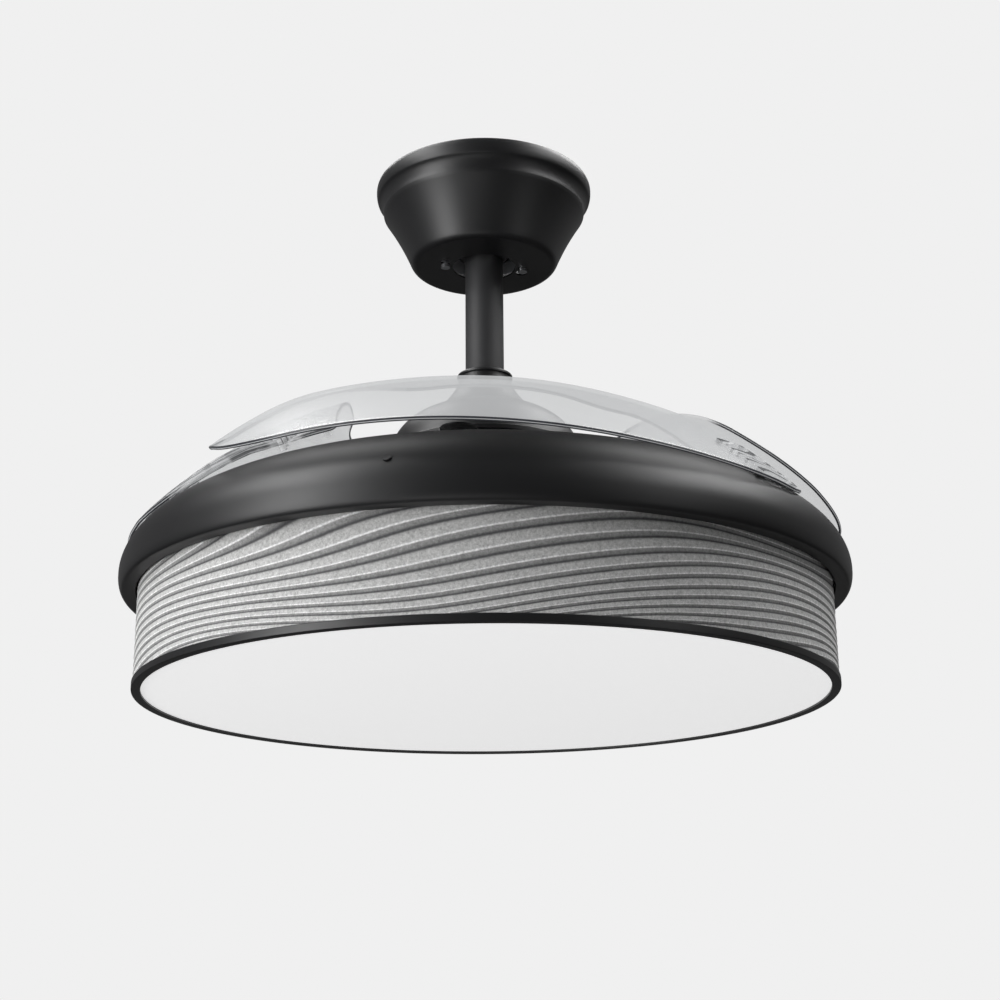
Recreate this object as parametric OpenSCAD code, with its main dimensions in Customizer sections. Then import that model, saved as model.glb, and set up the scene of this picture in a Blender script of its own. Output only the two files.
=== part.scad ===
// Ceiling fan with three folding blades nested over a drum lamp.
// Origin: centre of the ceiling plane. +Z up, millimetres. The front is -Y.
// Azimuths are measured from the front towards +X, anticlockwise seen from above.

/* [Ceiling mount] */
// Widest radius of the canopy's rolled rim
canopy_r = 79.7; // [76:0.1:88]
// Height of the canopy, from the ceiling to its flat bottom
canopy_h = 64; // [62:1:76]
// Sheet thickness of the spun canopy
canopy_wall = 1.2; // [0.8:0.1:1.6]
// Radius of the canopy's hole that the rod hangs through
canopy_hole_r = 23; // [21:0.5:24]
// Distance between the two ceiling screws
slot_spacing = 84; // [76:1:92]
// Width of each ceiling slot
slot_w = 5.5; // [4.5:0.1:6.5]
// Length of each ceiling slot, end to end
slot_len = 18; // [12:1:22]
// Thickness of the bracket's steel strip
bracket_t = 2.5; // [2:0.1:3.5]
// Radius of the ball that the rod hangs from
ball_r = 22; // [21:0.5:24]
// How far the rod may swing either way on its ball, in degrees
swing_max = 8; // [4:1:10]

/* [Downrod and bell] */
// Radius of the downrod
rod_r = 13.9; // [12:0.1:15]
// Wall of the downrod's tube
rod_wall = 1.6; // [1.2:0.1:2.5]
// Length of rod that shows below the canopy
rod_drop = 86; // [60:1:300]
// Height of the trim collar on the bell
collar_h = 9; // [7:0.5:14]
// Radius of the bell's neck and of the collar
neck_r = 20; // [19:0.1:22]
// Radius of the bell's open rim
bell_r = 69.5; // [66:0.5:74]
// Height of the bell
bell_h = 55; // [53:1:64]
// Sheet thickness of the spun bell
bell_wall = 1.2; // [0.8:0.1:1.6]

/* [Motor] */
// Radius of the fixed hollow shaft
shaft_r = 8.5; // [8:0.1:9.2]
// Radius of the shaft's wire bore
wire_bore_r = 5; // [3.5:0.5:6]
// Inner radius of the rotor's wall
rotor_bore_r = 63.5; // [62.5:0.5:66]
// Thickness of the rotor's cast walls
rotor_wall = 3.5; // [3:0.1:4.5]
// Height of the rotor, cover and pot together
rotor_h = 38.5; // [38:0.5:46]
// Air gap between the stator and the magnets
air_gap = 1; // [0.6:0.1:1.5]
// Thickness of the magnets
magnet_t = 3; // [2:0.1:3.5]
// Number of stator teeth and coils
tooth_count = 12; // [9:1:12]
// Running clearance of shafts and pins in their bores
run_fit = 0.05; // [0.02:0.01:0.1]

/* [Folding gear] */
// Module of the gear teeth
gear_module = 2; // [1.9:0.05:2.05]
// Teeth on a whole foot pinion
pinion_n = 22; // [20:1:22]
// Teeth on a whole ring
ring_n = 147; // [144:3:147]
// Thickness of the pinions and of the ring
gear_h = 5; // [4:0.5:6]
// Width of the ring below its tooth roots
ring_band = 20; // [18:0.5:22]
// Gap between neighbours that slide over each other
slide_gap = 0.3; // [0.2:0.05:0.5]
// Angle that each blade swings open
fold_max = 140; // [100:1:140]
// Radius of the pivot posts
post_r = 5; // [4:0.1:5.5]
// Azimuth of the first pivot post
pivot_az = 115; // [113:0.5:116]
// Sheet thickness of the blade tray
tray_t = 2; // [1.5:0.1:3]
// Thickness of the foot's arm
arm_h = 4.5; // [3.5:0.1:5]

/* [Blades] */
// Thickness of a blade
blade_t = 2.6; // [2:0.1:2.8]
// Height that a blade falls from its inner edge to its outer edge
blade_droop = 81; // [76:1:82]
// Radius at which the blade's shell starts to fall
crown_r = 110; // [104:1:116]
// Azimuth of the blade's root end
root_az = 95; // [93:0.5:96]
// Azimuth of the blade's tip
tip_az = -61; // [-62:0.5:-57]

/* [Lamp] */
// Widest radius of the lamp's black cover
body_r = 250; // [246:1:262]
// Rise of the cover's round shoulder
shoulder_h = 59; // [56:1:62]
// Sheet thickness of the cover and of the pan
cover_wall = 1.2; // [0.8:0.1:1.6]
// Height of the cover below its widest line
skirt_h = 10.5; // [9:0.5:16]
// How far the shade stands in from the cover's widest line
shade_inset = 13; // [10:0.5:20]
// Wall of the shade
shade_wall = 2; // [1.5:0.1:3]
// Height of shade that shows below the cover
shade_show = 61.8; // [45:0.2:90]
// Height of the bottom trim that shows
trim_h = 4.8; // [4:0.1:8]
// Width of the trim's bottom face
trim_w = 6.2; // [5.5:0.1:9]
// Thickness of the diffuser
diffuser_t = 2.5; // [2:0.1:3]
// Radius of the board that carries the lamp's chips
board_r = 150; // [145:1:180]

/* [Hidden] */

FN = 96;
black = "#202022";
steel = "#a9abad";
milk = "#dfe2e4";

// ---- Heights, from the ceiling down ----
seat_r = ball_r - 2.2;
ball_z = 22 - canopy_h;
seat_z = ball_z - sqrt(ball_r * ball_r - seat_r * seat_r) - slide_gap / 2;
rod_top_z = ball_z + 16;
collar_z = -canopy_h - rod_drop;
bell_z = collar_z - collar_h;
coupler_z = bell_z - bell_wall;
coupler_h = 38;
rod_end_z = coupler_z - 18;
shaft_top_z = coupler_z - 23;
bell_rim_z = bell_z - bell_h;
rotor_z = bell_rim_z - 3;
rotor_end_z = rotor_z - rotor_h;
tray_drop = 12.5;
tray_z = rotor_end_z - tray_drop;
gear_z = tray_z + slide_gap;
gear_top_z = gear_z + gear_h;
arm_z = gear_top_z + 3.2;
boss_top_z = arm_z + 8.5;
sweep_gap = 2;
crest_r = 199;
shoulder_w = 120;
shoulder_r = body_r - shoulder_w;
crest_sin = (crest_r - shoulder_r) / shoulder_w;
crest_z = arm_z - sweep_gap;
wide_z = crest_z - shoulder_h * sqrt(1 - crest_sin * crest_sin);
rim_z = wide_z - skirt_h;
pan_z = wide_z + 9.8;
pan_under_z = pan_z - cover_wall;
shade_top_z = pan_under_z - slide_gap;
shade_end_z = rim_z - shade_show;
trim_end_z = shade_end_z - trim_h;
lip_t = 1.5;
board_gap = 36;
board_z = pan_under_z - board_gap;
shaft_end_z = pan_under_z - 7;

// ---- Places ----
pinion_r = gear_module * pinion_n / 2;
ring_r = gear_module * ring_n / 2;
pivot_r = pinion_r + ring_r;
ring_root_r = ring_r - 1.25 * gear_module;
ring_inner_r = ring_root_r - ring_band;
ring_turn = fold_max * pinion_n / ring_n;
guide_az = pivot_az + 60;
guide_ring_r = ring_inner_r + ring_band / 2;
boss_r = 13;
spring_well_r = 10.5;
rotor_r = rotor_bore_r + rotor_wall;
stator_r = rotor_bore_r - magnet_t - air_gap;
blade_span = body_r - crown_r;
crown_z = arm_z + 66.2;
shade_r = body_r - shade_inset;

// ---- Helpers ----
function pol(r, a) = [r * sin(a), -r * cos(a)];
function at(p, z) = [p[0], p[1], z];
function bez(a, b, c, n = 6) =
    [for (i = [0:n]) let (t = i / n) a * (1 - t) * (1 - t) + b * 2 * t * (1 - t) + c * t * t];
function unit(v) = v / norm(v);
// Normals of an open outline, to give a spun sheet its wall
function wall_side(p, i) = let (n = len(p) - 1,
    d = unit(p[min(i + 1, n)] - p[max(i - 1, 0)])) [-d[1], d[0]];
function sheet(p, t) = concat(p, [for (i = [len(p) - 1:-1:0]) p[i] + wall_side(p, i) * t]);

module spun(p) { rotate_extrude($fn = FN) polygon(p); }
module tube(r1, r2, z1, z2) {
    translate([0, 0, z1]) difference() {
        cylinder(r = r2, h = z2 - z1, $fn = FN);
        translate([0, 0, -1]) cylinder(r = r1, h = z2 - z1 + 2, $fn = FN);
    }
}
module around(n, r, a0 = 0) {
    for (k = [0:n - 1]) rotate([0, 0, a0 + 360 * k / n]) translate([0, -r, 0]) children();
}
// Round-headed screw along +Z, with its head's underside at the origin
module screw(r, len, head_r, head_h) {
    translate([0, 0, -len]) cylinder(r = r, h = len, $fn = 24);
    cylinder(r = head_r, h = head_h, $fn = 24);
}

// ---- Ceiling mount ----
canopy_screw_r = 28.7;
canopy_screw_az = 99;
canopy_shank_r = 1.6;
module hanger_bracket() {
    leg_x = 33;
    bar = [136, 34];
    leg_w = 26;
    seat_plate_r = 36;
    color(steel) difference() {
        union() {
            translate([-bar[0] / 2, -bar[1] / 2, -bracket_t]) cube([bar[0], bar[1], bracket_t]);
            for (s = [-1, 1]) translate([s * (leg_x + bracket_t / 2) - bracket_t / 2, -leg_w / 2, seat_z - bracket_t])
                cube([bracket_t, leg_w, -seat_z]);
            translate([0, 0, seat_z - bracket_t]) cylinder(r = seat_plate_r, h = bracket_t, $fn = FN);
        }
        for (s = [-1, 1]) translate([s * slot_spacing / 2, 0, -bracket_t - 1]) {
            for (e = [-1, 1]) translate([e * (slot_len - slot_w) / 2, 0, 0])
                cylinder(r = slot_w / 2, h = bracket_t + 2, $fn = 32);
            translate([-(slot_len - slot_w) / 2, -slot_w / 2, 0])
                cube([slot_len - slot_w, slot_w, bracket_t + 2]);
        }
        translate([0, 0, seat_z - bracket_t - 1]) cylinder(r = seat_r, h = bracket_t + 2, $fn = FN);
        // Mouth that lets the rod slip in from the front
        translate([-rod_r - 1, -seat_plate_r - 1, seat_z - bracket_t - 1])
            cube([2 * rod_r + 2, seat_plate_r + 1, bracket_t + 2]);
        translate([0, 0, seat_z - bracket_t - 1]) around(2, canopy_screw_r, canopy_screw_az)
            cylinder(r = canopy_shank_r + run_fit, h = bracket_t + 2, $fn = 24);
    }
}

module canopy() {
    r = canopy_r;
    b = -canopy_h;
    outline = concat([[canopy_hole_r, b]],
        bez([r - 30.7, b], [r - 27.2, b], [r - 25.6, b + 3], 4),
        bez([r - 25.6, b + 3], [r - 16.9, b + 23.8], [r - 5.3, -22.5], 7),
        bez([r - 5.2, -18.5], [r - 4.8, -14.5], [r - 1.2, -11.6], 4),
        bez([r - 0.1, -9], [r + 0.4, -4], [r - 1.7, 0], 5));
    color(black) difference() {
        spun(sheet(outline, canopy_wall));
        // Keyholes: the head passes the wide end, the shank turns into the narrow end
        translate([0, 0, b - 1]) around(2, canopy_screw_r, canopy_screw_az) {
            cylinder(r = canopy_shank_r + 0.4, h = canopy_wall + 2, $fn = 24);
            translate([5.6, 0, 0]) cylinder(r = 4.2, h = canopy_wall + 2, $fn = 24);
            translate([0, -canopy_shank_r - 0.4, 0]) cube([5, 2 * canopy_shank_r + 0.8, canopy_wall + 2]);
        }
    }
}

module canopy_screws() {
    color(steel) translate([0, 0, -canopy_h]) around(2, canopy_screw_r, canopy_screw_az)
        mirror([0, 0, 1]) screw(canopy_shank_r, canopy_h + seat_z + 1.5, 3.4, 2);
}

// ---- Downrod and bell ----
ball_pin_r = 3;
ball_pin_z = ball_z + 6;
module hanger_ball() {
    color("#303032") difference() {
        translate([0, 0, ball_z]) sphere(r = ball_r, $fn = FN);
        translate([0, 0, ball_z - ball_r]) cylinder(r = rod_r + run_fit, h = 2 * ball_r, $fn = FN);
        translate([-ball_r, -ball_r, ball_z + 15]) cube([2 * ball_r, 2 * ball_r, ball_r]);
        translate([-ball_r, 0, ball_pin_z]) rotate([0, 90, 0])
            cylinder(r = ball_pin_r + run_fit, h = 2 * ball_r, $fn = 32);
    }
}

module ball_pin() {
    color(steel) translate([-ball_r + 2, 0, ball_pin_z]) rotate([0, 90, 0])
        cylinder(r = ball_pin_r, h = 2 * ball_r - 4, $fn = 32);
}

bolt_r = 2.5;
rod_bolt_z = coupler_z - 9;
shaft_bolt_z = coupler_z - 31;
module downrod() {
    color(black) difference() {
        tube(rod_r - rod_wall, rod_r, rod_end_z, rod_top_z);
        translate([-rod_r - 1, 0, ball_pin_z]) rotate([0, 90, 0])
            cylinder(r = ball_pin_r + run_fit, h = 2 * rod_r + 2, $fn = 32);
        translate([-rod_r - 1, 0, rod_bolt_z]) rotate([0, 90, 0])
            cylinder(r = bolt_r + run_fit, h = 2 * rod_r + 2, $fn = 32);
    }
}

module collar() {
    color(black) spun([[rod_r + run_fit, collar_z], [neck_r - 1, collar_z], [neck_r, collar_z - 0.8],
        [neck_r, collar_z - 2], [neck_r - 0.8, collar_z - 2.6], [neck_r - 0.4, bell_z],
        [rod_r + run_fit, bell_z]]);
}

module motor_bell() {
    flare = bez([neck_r, bell_z], [neck_r + 9.8, bell_z - 16.6], [neck_r + 18.4, bell_z - 20.7], 7);
    shoulder = bez([neck_r + 18.4, bell_z - 20.7], [bell_r - 5.5, bell_z - 29], [bell_r, bell_rim_z], 9);
    outline = concat([[rod_r + 0.3, bell_z]], flare, [for (i = [1:len(shoulder) - 1]) shoulder[i]]);
    color(black) spun(sheet([for (i = [len(outline) - 1:-1:0]) outline[i]], bell_wall));
}

module shaft_coupler() {
    r = neck_r - 2.7;
    color(steel) difference() {
        translate([0, 0, coupler_z - coupler_h]) cylinder(r = r, h = coupler_h, $fn = FN);
        translate([0, 0, rod_end_z - 0.3]) cylinder(r = rod_r + run_fit, h = 30, $fn = FN);
        translate([0, 0, coupler_z - coupler_h - 1])
            cylinder(r = shaft_r + run_fit, h = shaft_top_z - coupler_z + coupler_h + 1.3, $fn = FN);
        translate([0, 0, coupler_z - coupler_h]) cylinder(r = wire_bore_r, h = coupler_h, $fn = 48);
        translate([-r - 1, 0, rod_bolt_z]) rotate([0, 90, 0])
            cylinder(r = bolt_r + run_fit, h = 2 * r + 2, $fn = 32);
        translate([0, r + 1, shaft_bolt_z]) rotate([90, 0, 0])
            cylinder(r = bolt_r + run_fit, h = 2 * r + 2, $fn = 32);
    }
}

// Cross bolt with a nut, along +Z through the middle
module cross_bolt(half) {
    translate([0, 0, -half - 5]) cylinder(r = bolt_r, h = 2 * half + 5, $fn = 32);
    translate([0, 0, half]) cylinder(r = 4.4, h = 2.6, $fn = 6);
    translate([0, 0, -half - 4]) difference() {
        cylinder(r = 4.6, h = 4, $fn = 6);
        translate([0, 0, -1]) cylinder(r = bolt_r, h = 6, $fn = 32);
    }
}

module coupler_bolts() {
    color(steel) {
        translate([0, 0, rod_bolt_z]) rotate([0, 90, 0]) cross_bolt(neck_r - 2.7);
        translate([0, 0, shaft_bolt_z]) rotate([90, 0, 0]) cross_bolt(neck_r - 2.7);
    }
}

// ---- Motor ----
module motor_shaft() {
    color(steel) difference() {
        tube(wire_bore_r, shaft_r, shaft_end_z, shaft_top_z);
        translate([0, shaft_r + 1, shaft_bolt_z]) rotate([90, 0, 0])
            cylinder(r = bolt_r + run_fit, h = 2 * shaft_r + 2, $fn = 32);
    }
}

hub_r = 17.5;
bearing_h = 8;
core_h = 16;
core_z = rotor_z - 11;
tooth_w = 7;
hub_core_r = 24;
module stator_core() {
    shoe = 4.5;
    half = 180 / tooth_count - 2.4;
    neck_a = asin(tooth_w / 2 / (stator_r - shoe));
    foot_a = asin(tooth_w / 2 / hub_core_r);
    outline = [for (k = [0:tooth_count - 1]) let (m = 360 * k / tooth_count)
        each [pol(hub_core_r, m - foot_a), pol(stator_r - shoe, m - neck_a), pol(stator_r - shoe, m - half),
            for (s = [-2:2]) pol(stator_r, m + half * s / 2),
            pol(stator_r - shoe, m + half), pol(stator_r - shoe, m + neck_a), pol(hub_core_r, m + foot_a)]];
    color("#6f7377") translate([0, 0, core_z - core_h]) difference() {
        linear_extrude(core_h) polygon(outline);
        translate([0, 0, -1]) cylinder(r = shaft_r, h = core_h + 2, $fn = FN);
    }
}

module stator_windings() {
    over = 3.6;
    r1 = hub_core_r + 4.5;
    r2 = stator_r - 6.5;
    w = tooth_w + 6.3;
    color("#b4632c") translate([0, 0, core_z - core_h / 2]) around(tooth_count, 0)
        difference() {
            translate([-w / 2, -r2, -core_h / 2 - over]) cube([w, r2 - r1, core_h + 2 * over]);
            translate([-tooth_w / 2 - 0.1, -r2 - 1, -core_h / 2 - 0.1]) cube([tooth_w + 0.2, r2 - r1 + 2, core_h + 0.2]);
        }
}

lug_n = 6;
lug_r = rotor_r + 2.3;
lug_size = 4.2;
lug_relief = 0.4;
lug_screw_r = 1.5;
module rotor_cover() {
    z = rotor_z - rotor_wall;
    color("#8f9295") difference() {
        union() {
            spun([[hub_r, z], [rotor_r, z], [rotor_r, rotor_z],
                [hub_r + 3.5, rotor_z], [hub_r + 3.5, rotor_z + 4], [hub_r - 2, rotor_z + 4],
                [hub_r - 2, rotor_z + 2.8], [hub_r, rotor_z + 2.8]]);
            translate([0, 0, z + lug_relief]) around(lug_n, lug_r)
                cylinder(r = lug_size, h = rotor_wall - 2 * lug_relief, $fn = 32);
        }
        translate([0, 0, z - 1]) {
            around(lug_n, lug_r) cylinder(r = lug_screw_r + 0.2, h = rotor_wall + 2, $fn = 24);
            around(8, 43, 22.5) cylinder(r = 6, h = rotor_wall + 2, $fn = 32);
        }
    }
}

tray_screw_ring = 48;
module rotor_pot() {
    top = rotor_z - rotor_wall;
    z = rotor_end_z;
    seat = bearing_h + 1.2;
    color("#8f9295") difference() {
        union() {
            spun([[hub_r - 2, z], [rotor_r + 9, z], [rotor_r + 9, z + rotor_wall], [rotor_r, z + rotor_wall],
                [rotor_r, top], [rotor_bore_r, top], [rotor_bore_r, z + rotor_wall], [hub_r + 3.5, z + rotor_wall],
                [hub_r + 3.5, z + seat], [hub_r, z + seat], [hub_r, z + 1.2], [hub_r - 2, z + 1.2]]);
            translate([0, 0, top - 9]) around(lug_n, lug_r) cylinder(r = lug_size, h = 9 - lug_relief, $fn = 32);
        }
        translate([0, 0, top - 8]) around(lug_n, lug_r) cylinder(r = lug_screw_r, h = 10, $fn = 24);
        translate([0, 0, z - 1]) around(6, tray_screw_ring) cylinder(r = bolt_r, h = rotor_wall + 2, $fn = 32);
    }
}

module rotor_screws() {
    color(steel) translate([0, 0, rotor_z - lug_relief]) around(lug_n, lug_r) screw(lug_screw_r, rotor_wall + 6, lug_r - rotor_r - 0.1, 1.4);
}

module rotor_magnets() {
    pole_n = 12;
    color("#3b3d42") translate([0, 0, core_z - core_h - 1]) for (k = [0:pole_n - 1]) rotate([0, 0, 360 * k / pole_n])
        rotate_extrude(angle = 360 / pole_n - 4, $fn = FN)
            translate([rotor_bore_r - magnet_t, 0]) square([magnet_t, core_h + 2]);
}

// Ball bearing with its top at z
module bearing(z) {
    inner = shaft_r + run_fit;
    ball = 2.2;
    mid = (inner + hub_r) / 2;
    translate([0, 0, z - bearing_h]) {
        difference() {
            union() {
                tube(inner, mid - 1.4, 0, bearing_h);
                tube(mid + 1.4, hub_r, 0, bearing_h);
            }
            translate([0, 0, bearing_h / 2]) rotate_extrude($fn = FN) translate([mid, 0]) circle(r = ball + 0.05, $fn = 24);
        }
        translate([0, 0, bearing_h / 2]) around(9, mid) sphere(r = ball, $fn = 24);
    }
}
module upper_bearing() { color(steel) bearing(rotor_z + 2.8); }
module lower_bearing() { color(steel) bearing(rotor_end_z + 1.2 + bearing_h); }

// ---- Folding gear ----
involute_a = 20;
function inv(a) = tan(a) * 180 / PI - a;
// Half the angle of a tooth at radius r
function tooth_half(n, rp, r) = let (rb = rp * cos(involute_a))
    90 / n - 0.1 / rp * 180 / PI + inv(involute_a) - inv(acos(min(1, rb / r)));
// One tooth's points, from azimuth low to high, round the middle azimuth m
function tooth(n, m) = let (rp = gear_module * n / 2, rb = rp * cos(involute_a),
    r0 = max(rb, rp - 1.25 * gear_module), r1 = rp + 0.95 * gear_module,
    rs = [for (i = [0:3]) r0 + (r1 - r0) * i / 3])
    concat([pol(rp - 1.25 * gear_module, m - tooth_half(n, rp, r0) - 0.2)],
        [for (r = rs) pol(r, m - tooth_half(n, rp, r))],
        [for (i = [3:-1:0]) pol(rs[i], m + tooth_half(n, rp, rs[i]))],
        [pol(rp - 1.25 * gear_module, m + tooth_half(n, rp, r0) + 0.2)]);
function plain_arc(r, a, b, step) = [for (i = [1:floor((b - a) / step) - 1]) pol(r, a + i * step)];

pinion_pitch_a = 360 / pinion_n;
ring_pitch_a = 360 / ring_n;
// Azimuth from a post to the fan's axis, which the meshing teeth face
mesh_az = pivot_az + 180;
// The pinion has a gap on the line of centres, and teeth where the swing brings them
module pinion_outline() {
    first = -floor((fold_max + 20) / pinion_pitch_a);
    last = 1;
    polygon(concat([for (k = [first:last]) each tooth(pinion_n, mesh_az + (k - 0.5) * pinion_pitch_a)],
        plain_arc(pinion_r - 1.25 * gear_module, mesh_az + last * pinion_pitch_a,
            mesh_az + (first - 1) * pinion_pitch_a + 360, 8)));
}

module sync_ring() {
    side = 2;
    last = ceil(ring_turn / ring_pitch_a) + side;
    outline = [for (q = [0:2]) each concat(
        [for (k = [-side:last]) each tooth(ring_n, pivot_az + 120 * q + k * ring_pitch_a)],
        plain_arc(ring_root_r, pivot_az + 120 * q + (last + 0.5) * ring_pitch_a,
            pivot_az + 120 * (q + 1) - (side + 0.5) * ring_pitch_a, 4))];
    color("#c9cbcd") translate([0, 0, gear_z]) linear_extrude(gear_h) difference() {
        polygon(outline);
        circle(r = ring_inner_r, $fn = FN);
        for (q = [0:2]) polygon(ring_slot(guide_az + 120 * q, guide_r + slide_gap));
    }
}
// Curved slot from azimuth a, as long as the ring turns, with round ends
function ring_slot(a, r) = let (b = a + ring_turn) concat(
    [for (i = [0:6]) pol(guide_ring_r + r, a + ring_turn * i / 6)],
    [for (i = [1:9]) pol(guide_ring_r, b) + r * (cos(18 * i) * pol(1, b) + sin(18 * i) * [cos(b), sin(b)])],
    [for (i = [6:-1:0]) pol(guide_ring_r - r, a + ring_turn * i / 6)],
    [for (i = [1:9]) pol(guide_ring_r, a) - r * (cos(18 * i) * pol(1, a) + sin(18 * i) * [cos(a), sin(a)])]);

guide_r = 4;
module ring_guides() {
    color(steel) around(3, guide_ring_r, guide_az) {
        translate([0, 0, tray_z]) cylinder(r = guide_r, h = gear_h + 2 * slide_gap, $fn = 32);
        translate([0, 0, gear_top_z + slide_gap]) cylinder(r = 7, h = 1.5, $fn = 32);
    }
}

module blade_tray() {
    rim_r = 194;
    outline = [[22, rotor_end_z], [rotor_r + 14, rotor_end_z], [rotor_r + 25, tray_z], [rim_r - 2, tray_z],
        [rim_r, tray_z - 2], [rim_r, tray_z - 8]];
    color("#2b2c2e") difference() {
        spun(sheet(outline, -tray_t));
        translate([0, 0, rotor_end_z - tray_t - 1]) around(6, tray_screw_ring)
            cylinder(r = bolt_r + 0.1, h = tray_t + 2, $fn = 32);
        translate([0, 0, tray_z - tray_t - 1]) {
            around(3, pivot_r, pivot_az) cylinder(r = post_r, h = tray_t + 2, $fn = 32);
            around(3, ring_inner_r - 12.5, guide_az) cylinder(r = 9, h = tray_t + 2, $fn = 32);
            around(3, pivot_r - 3, guide_az) cylinder(r = 16, h = tray_t + 2, $fn = 32);
        }
    }
}

module tray_screws() {
    color(steel) translate([0, 0, rotor_end_z - tray_t]) around(6, tray_screw_ring)
        mirror([0, 0, 1]) screw(bolt_r - 0.05, tray_t + rotor_wall, 4.5, 2.5);
}

post_top_z = boss_top_z + slide_gap + 1.8;
module pivot_posts() {
    color(steel) around(3, pivot_r, pivot_az) {
        translate([0, 0, tray_z - tray_t]) cylinder(r = post_r, h = post_top_z - tray_z + tray_t, $fn = 32);
        translate([0, 0, tray_z - tray_t - 2]) cylinder(r = post_r + 3, h = 2, $fn = 32);
    }
}

module post_clips() {
    color(steel) translate([0, 0, boss_top_z + slide_gap]) around(3, pivot_r, pivot_az) difference() {
        cylinder(r = spring_well_r + 1, h = 1, $fn = 32);
        translate([0, 0, -1]) cylinder(r = post_r, h = 3, $fn = 32);
        translate([-1.5, 0, -1]) cube([3, spring_well_r + 2, 3]);
    }
}

// Torsion spring in each boss, swept along its own helix
spring_turns = 5;
spring_wire_r = 0.75;
spring_r = (post_r + spring_well_r) / 2;
spring_h = boss_top_z - gear_top_z - 3;
module return_springs() {
    sides = 6;
    steps = 12 * spring_turns;
    function c(i) = [spring_r * cos(30 * i), spring_r * sin(30 * i), spring_h * i / steps];
    ring = [for (i = [0:steps]) for (s = [0:sides - 1]) let (a = 360 * s / sides, p = c(i),
        out = [cos(30 * i), sin(30 * i), 0])
        p + out * spring_wire_r * cos(a) + [0, 0, spring_wire_r * sin(a)]];
    walls = [for (i = [0:steps - 1]) for (s = [0:sides - 1]) let (t = (s + 1) % sides)
        each [[i * sides + s, (i + 1) * sides + s, (i + 1) * sides + t],
            [i * sides + s, (i + 1) * sides + t, i * sides + t]]];
    ends = [[for (s = [0:sides - 1]) s], [for (s = [sides - 1:-1:0]) steps * sides + s]];
    color(steel) translate([0, 0, gear_top_z + spring_wire_r + 0.3]) around(3, pivot_r, pivot_az)
        polyhedron(ring, concat(walls, ends));
}

// ---- Blades ----
// The shell falls outwards from its crown, and waves gently along its length
wave_top = 3.9;
wave_amp = 12.2;
wave_az = -16;
inner_rise = 0.043;
root_dip = 4;
function outer_wave(a) = wave_top - wave_amp * (1 - cos(2 * (a - wave_az)));
function smooth(t) = t * t * (3 - 2 * t);
function middle_bow(a) = let (c = max(-46, min(a, 55)) / 50)
    -5.2 - 2.65 * c + 11.4 * c * c - 3.2 * max(a - 55, 0) / 40 - root_dip * smooth(max(0, min((a - 56) / 28, 1)));
function shell_z(r, a) = let (t = max((r - crown_r) / blade_span, 0), w = min(t, 1))
    crown_z - blade_droop * pow(t, 1.43) - (1 - w) * a * inner_rise + w * outer_wave(a)
    + 4 * w * (1 - w) * middle_bow(a);
// Outer and inner edges of the blade in plan
function ease(a, from, span) = pow(max(0, min((a - from) / span, 1)), 1.3);
function outer_edge(a) = body_r - 44 * pow(max(-28 - a, 0) / 30, 1.7) - 7 * ease(a, 22, 26) - 36 * ease(a, 52, 22);
function inner_edge(a) = min(outer_edge(a) - 14, crown_r - 14
    + 105 * pow(max(a - 40, 0) / 55, 2.6) + 90 * pow(max(-20 - a, 0) / 41, 2.2));
// A place on the blade: s runs from root to tip, t from inner to outer edge
function blade_place(s, t) = let (e = abs(2 * t - 1),
    a = (root_az + 1 - 8 * pow(e, 4)) * (1 - s) + (tip_az + 4 * pow(e, 3)) * s)
    [inner_edge(a) * (1 - t) + outer_edge(a) * t, a];
function shell_point(p, drop) = at(pol(p[0], p[1]), shell_z(p[0], p[1]) - drop);

// Closed slab between a grid of points and the same grid lower down
module slab(top, low, n, m) {
    w = m + 1;
    k = (n + 1) * w;
    function cell(i, j) = i * w + j;
    faces = concat(
        [for (i = [0:n - 1]) for (j = [0:m - 1]) each [
            [cell(i, j), cell(i, j + 1), cell(i + 1, j + 1)], [cell(i, j), cell(i + 1, j + 1), cell(i + 1, j)],
            [k + cell(i, j), k + cell(i + 1, j + 1), k + cell(i, j + 1)],
            [k + cell(i, j), k + cell(i + 1, j), k + cell(i + 1, j + 1)]]],
        [for (i = [0:n - 1]) each [
            [cell(i, 0), cell(i + 1, 0), k + cell(i + 1, 0)], [cell(i, 0), k + cell(i + 1, 0), k + cell(i, 0)],
            [cell(i + 1, m), cell(i, m), k + cell(i, m)], [cell(i + 1, m), k + cell(i, m), k + cell(i + 1, m)]]],
        [for (j = [0:m - 1]) each [
            [cell(0, j + 1), cell(0, j), k + cell(0, j)], [cell(0, j + 1), k + cell(0, j), k + cell(0, j + 1)],
            [cell(n, j), cell(n, j + 1), k + cell(n, j + 1)], [cell(n, j), k + cell(n, j + 1), k + cell(n, j)]]]);
    polyhedron(concat(top, low), faces);
}

// Blade screws stand square to the shell
function root_r(f) = crown_r + f * blade_span;
screw_places = [[root_r(0.6), root_az - 5], [root_r(0.636), root_az - 14.5], [root_r(0.486), root_az - 15]];
blade_screw_r = 1.9;
function shell_slope(r, a) = atan((shell_z(r - 1, a) - shell_z(r + 1, a)) / 2);
module on_shell(p) {
    translate(shell_point(p, 0)) rotate([0, 0, p[1]]) rotate([shell_slope(p[0], p[1]), 0, 0]) children();
}

module blade() {
    n = 30;
    m = 8;
    grid = [for (i = [0:n]) for (j = [0:m]) blade_place(i / n, j / m)];
    color(milk, 0.6) difference() {
        slab([for (p = grid) shell_point(p, 0)], [for (p = grid) shell_point(p, blade_t)], n, m);
        for (p = screw_places) on_shell(p) translate([0, 0, -8])
            cylinder(r = blade_screw_r + 0.15, h = 16, $fn = 24);
    }
}

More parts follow.
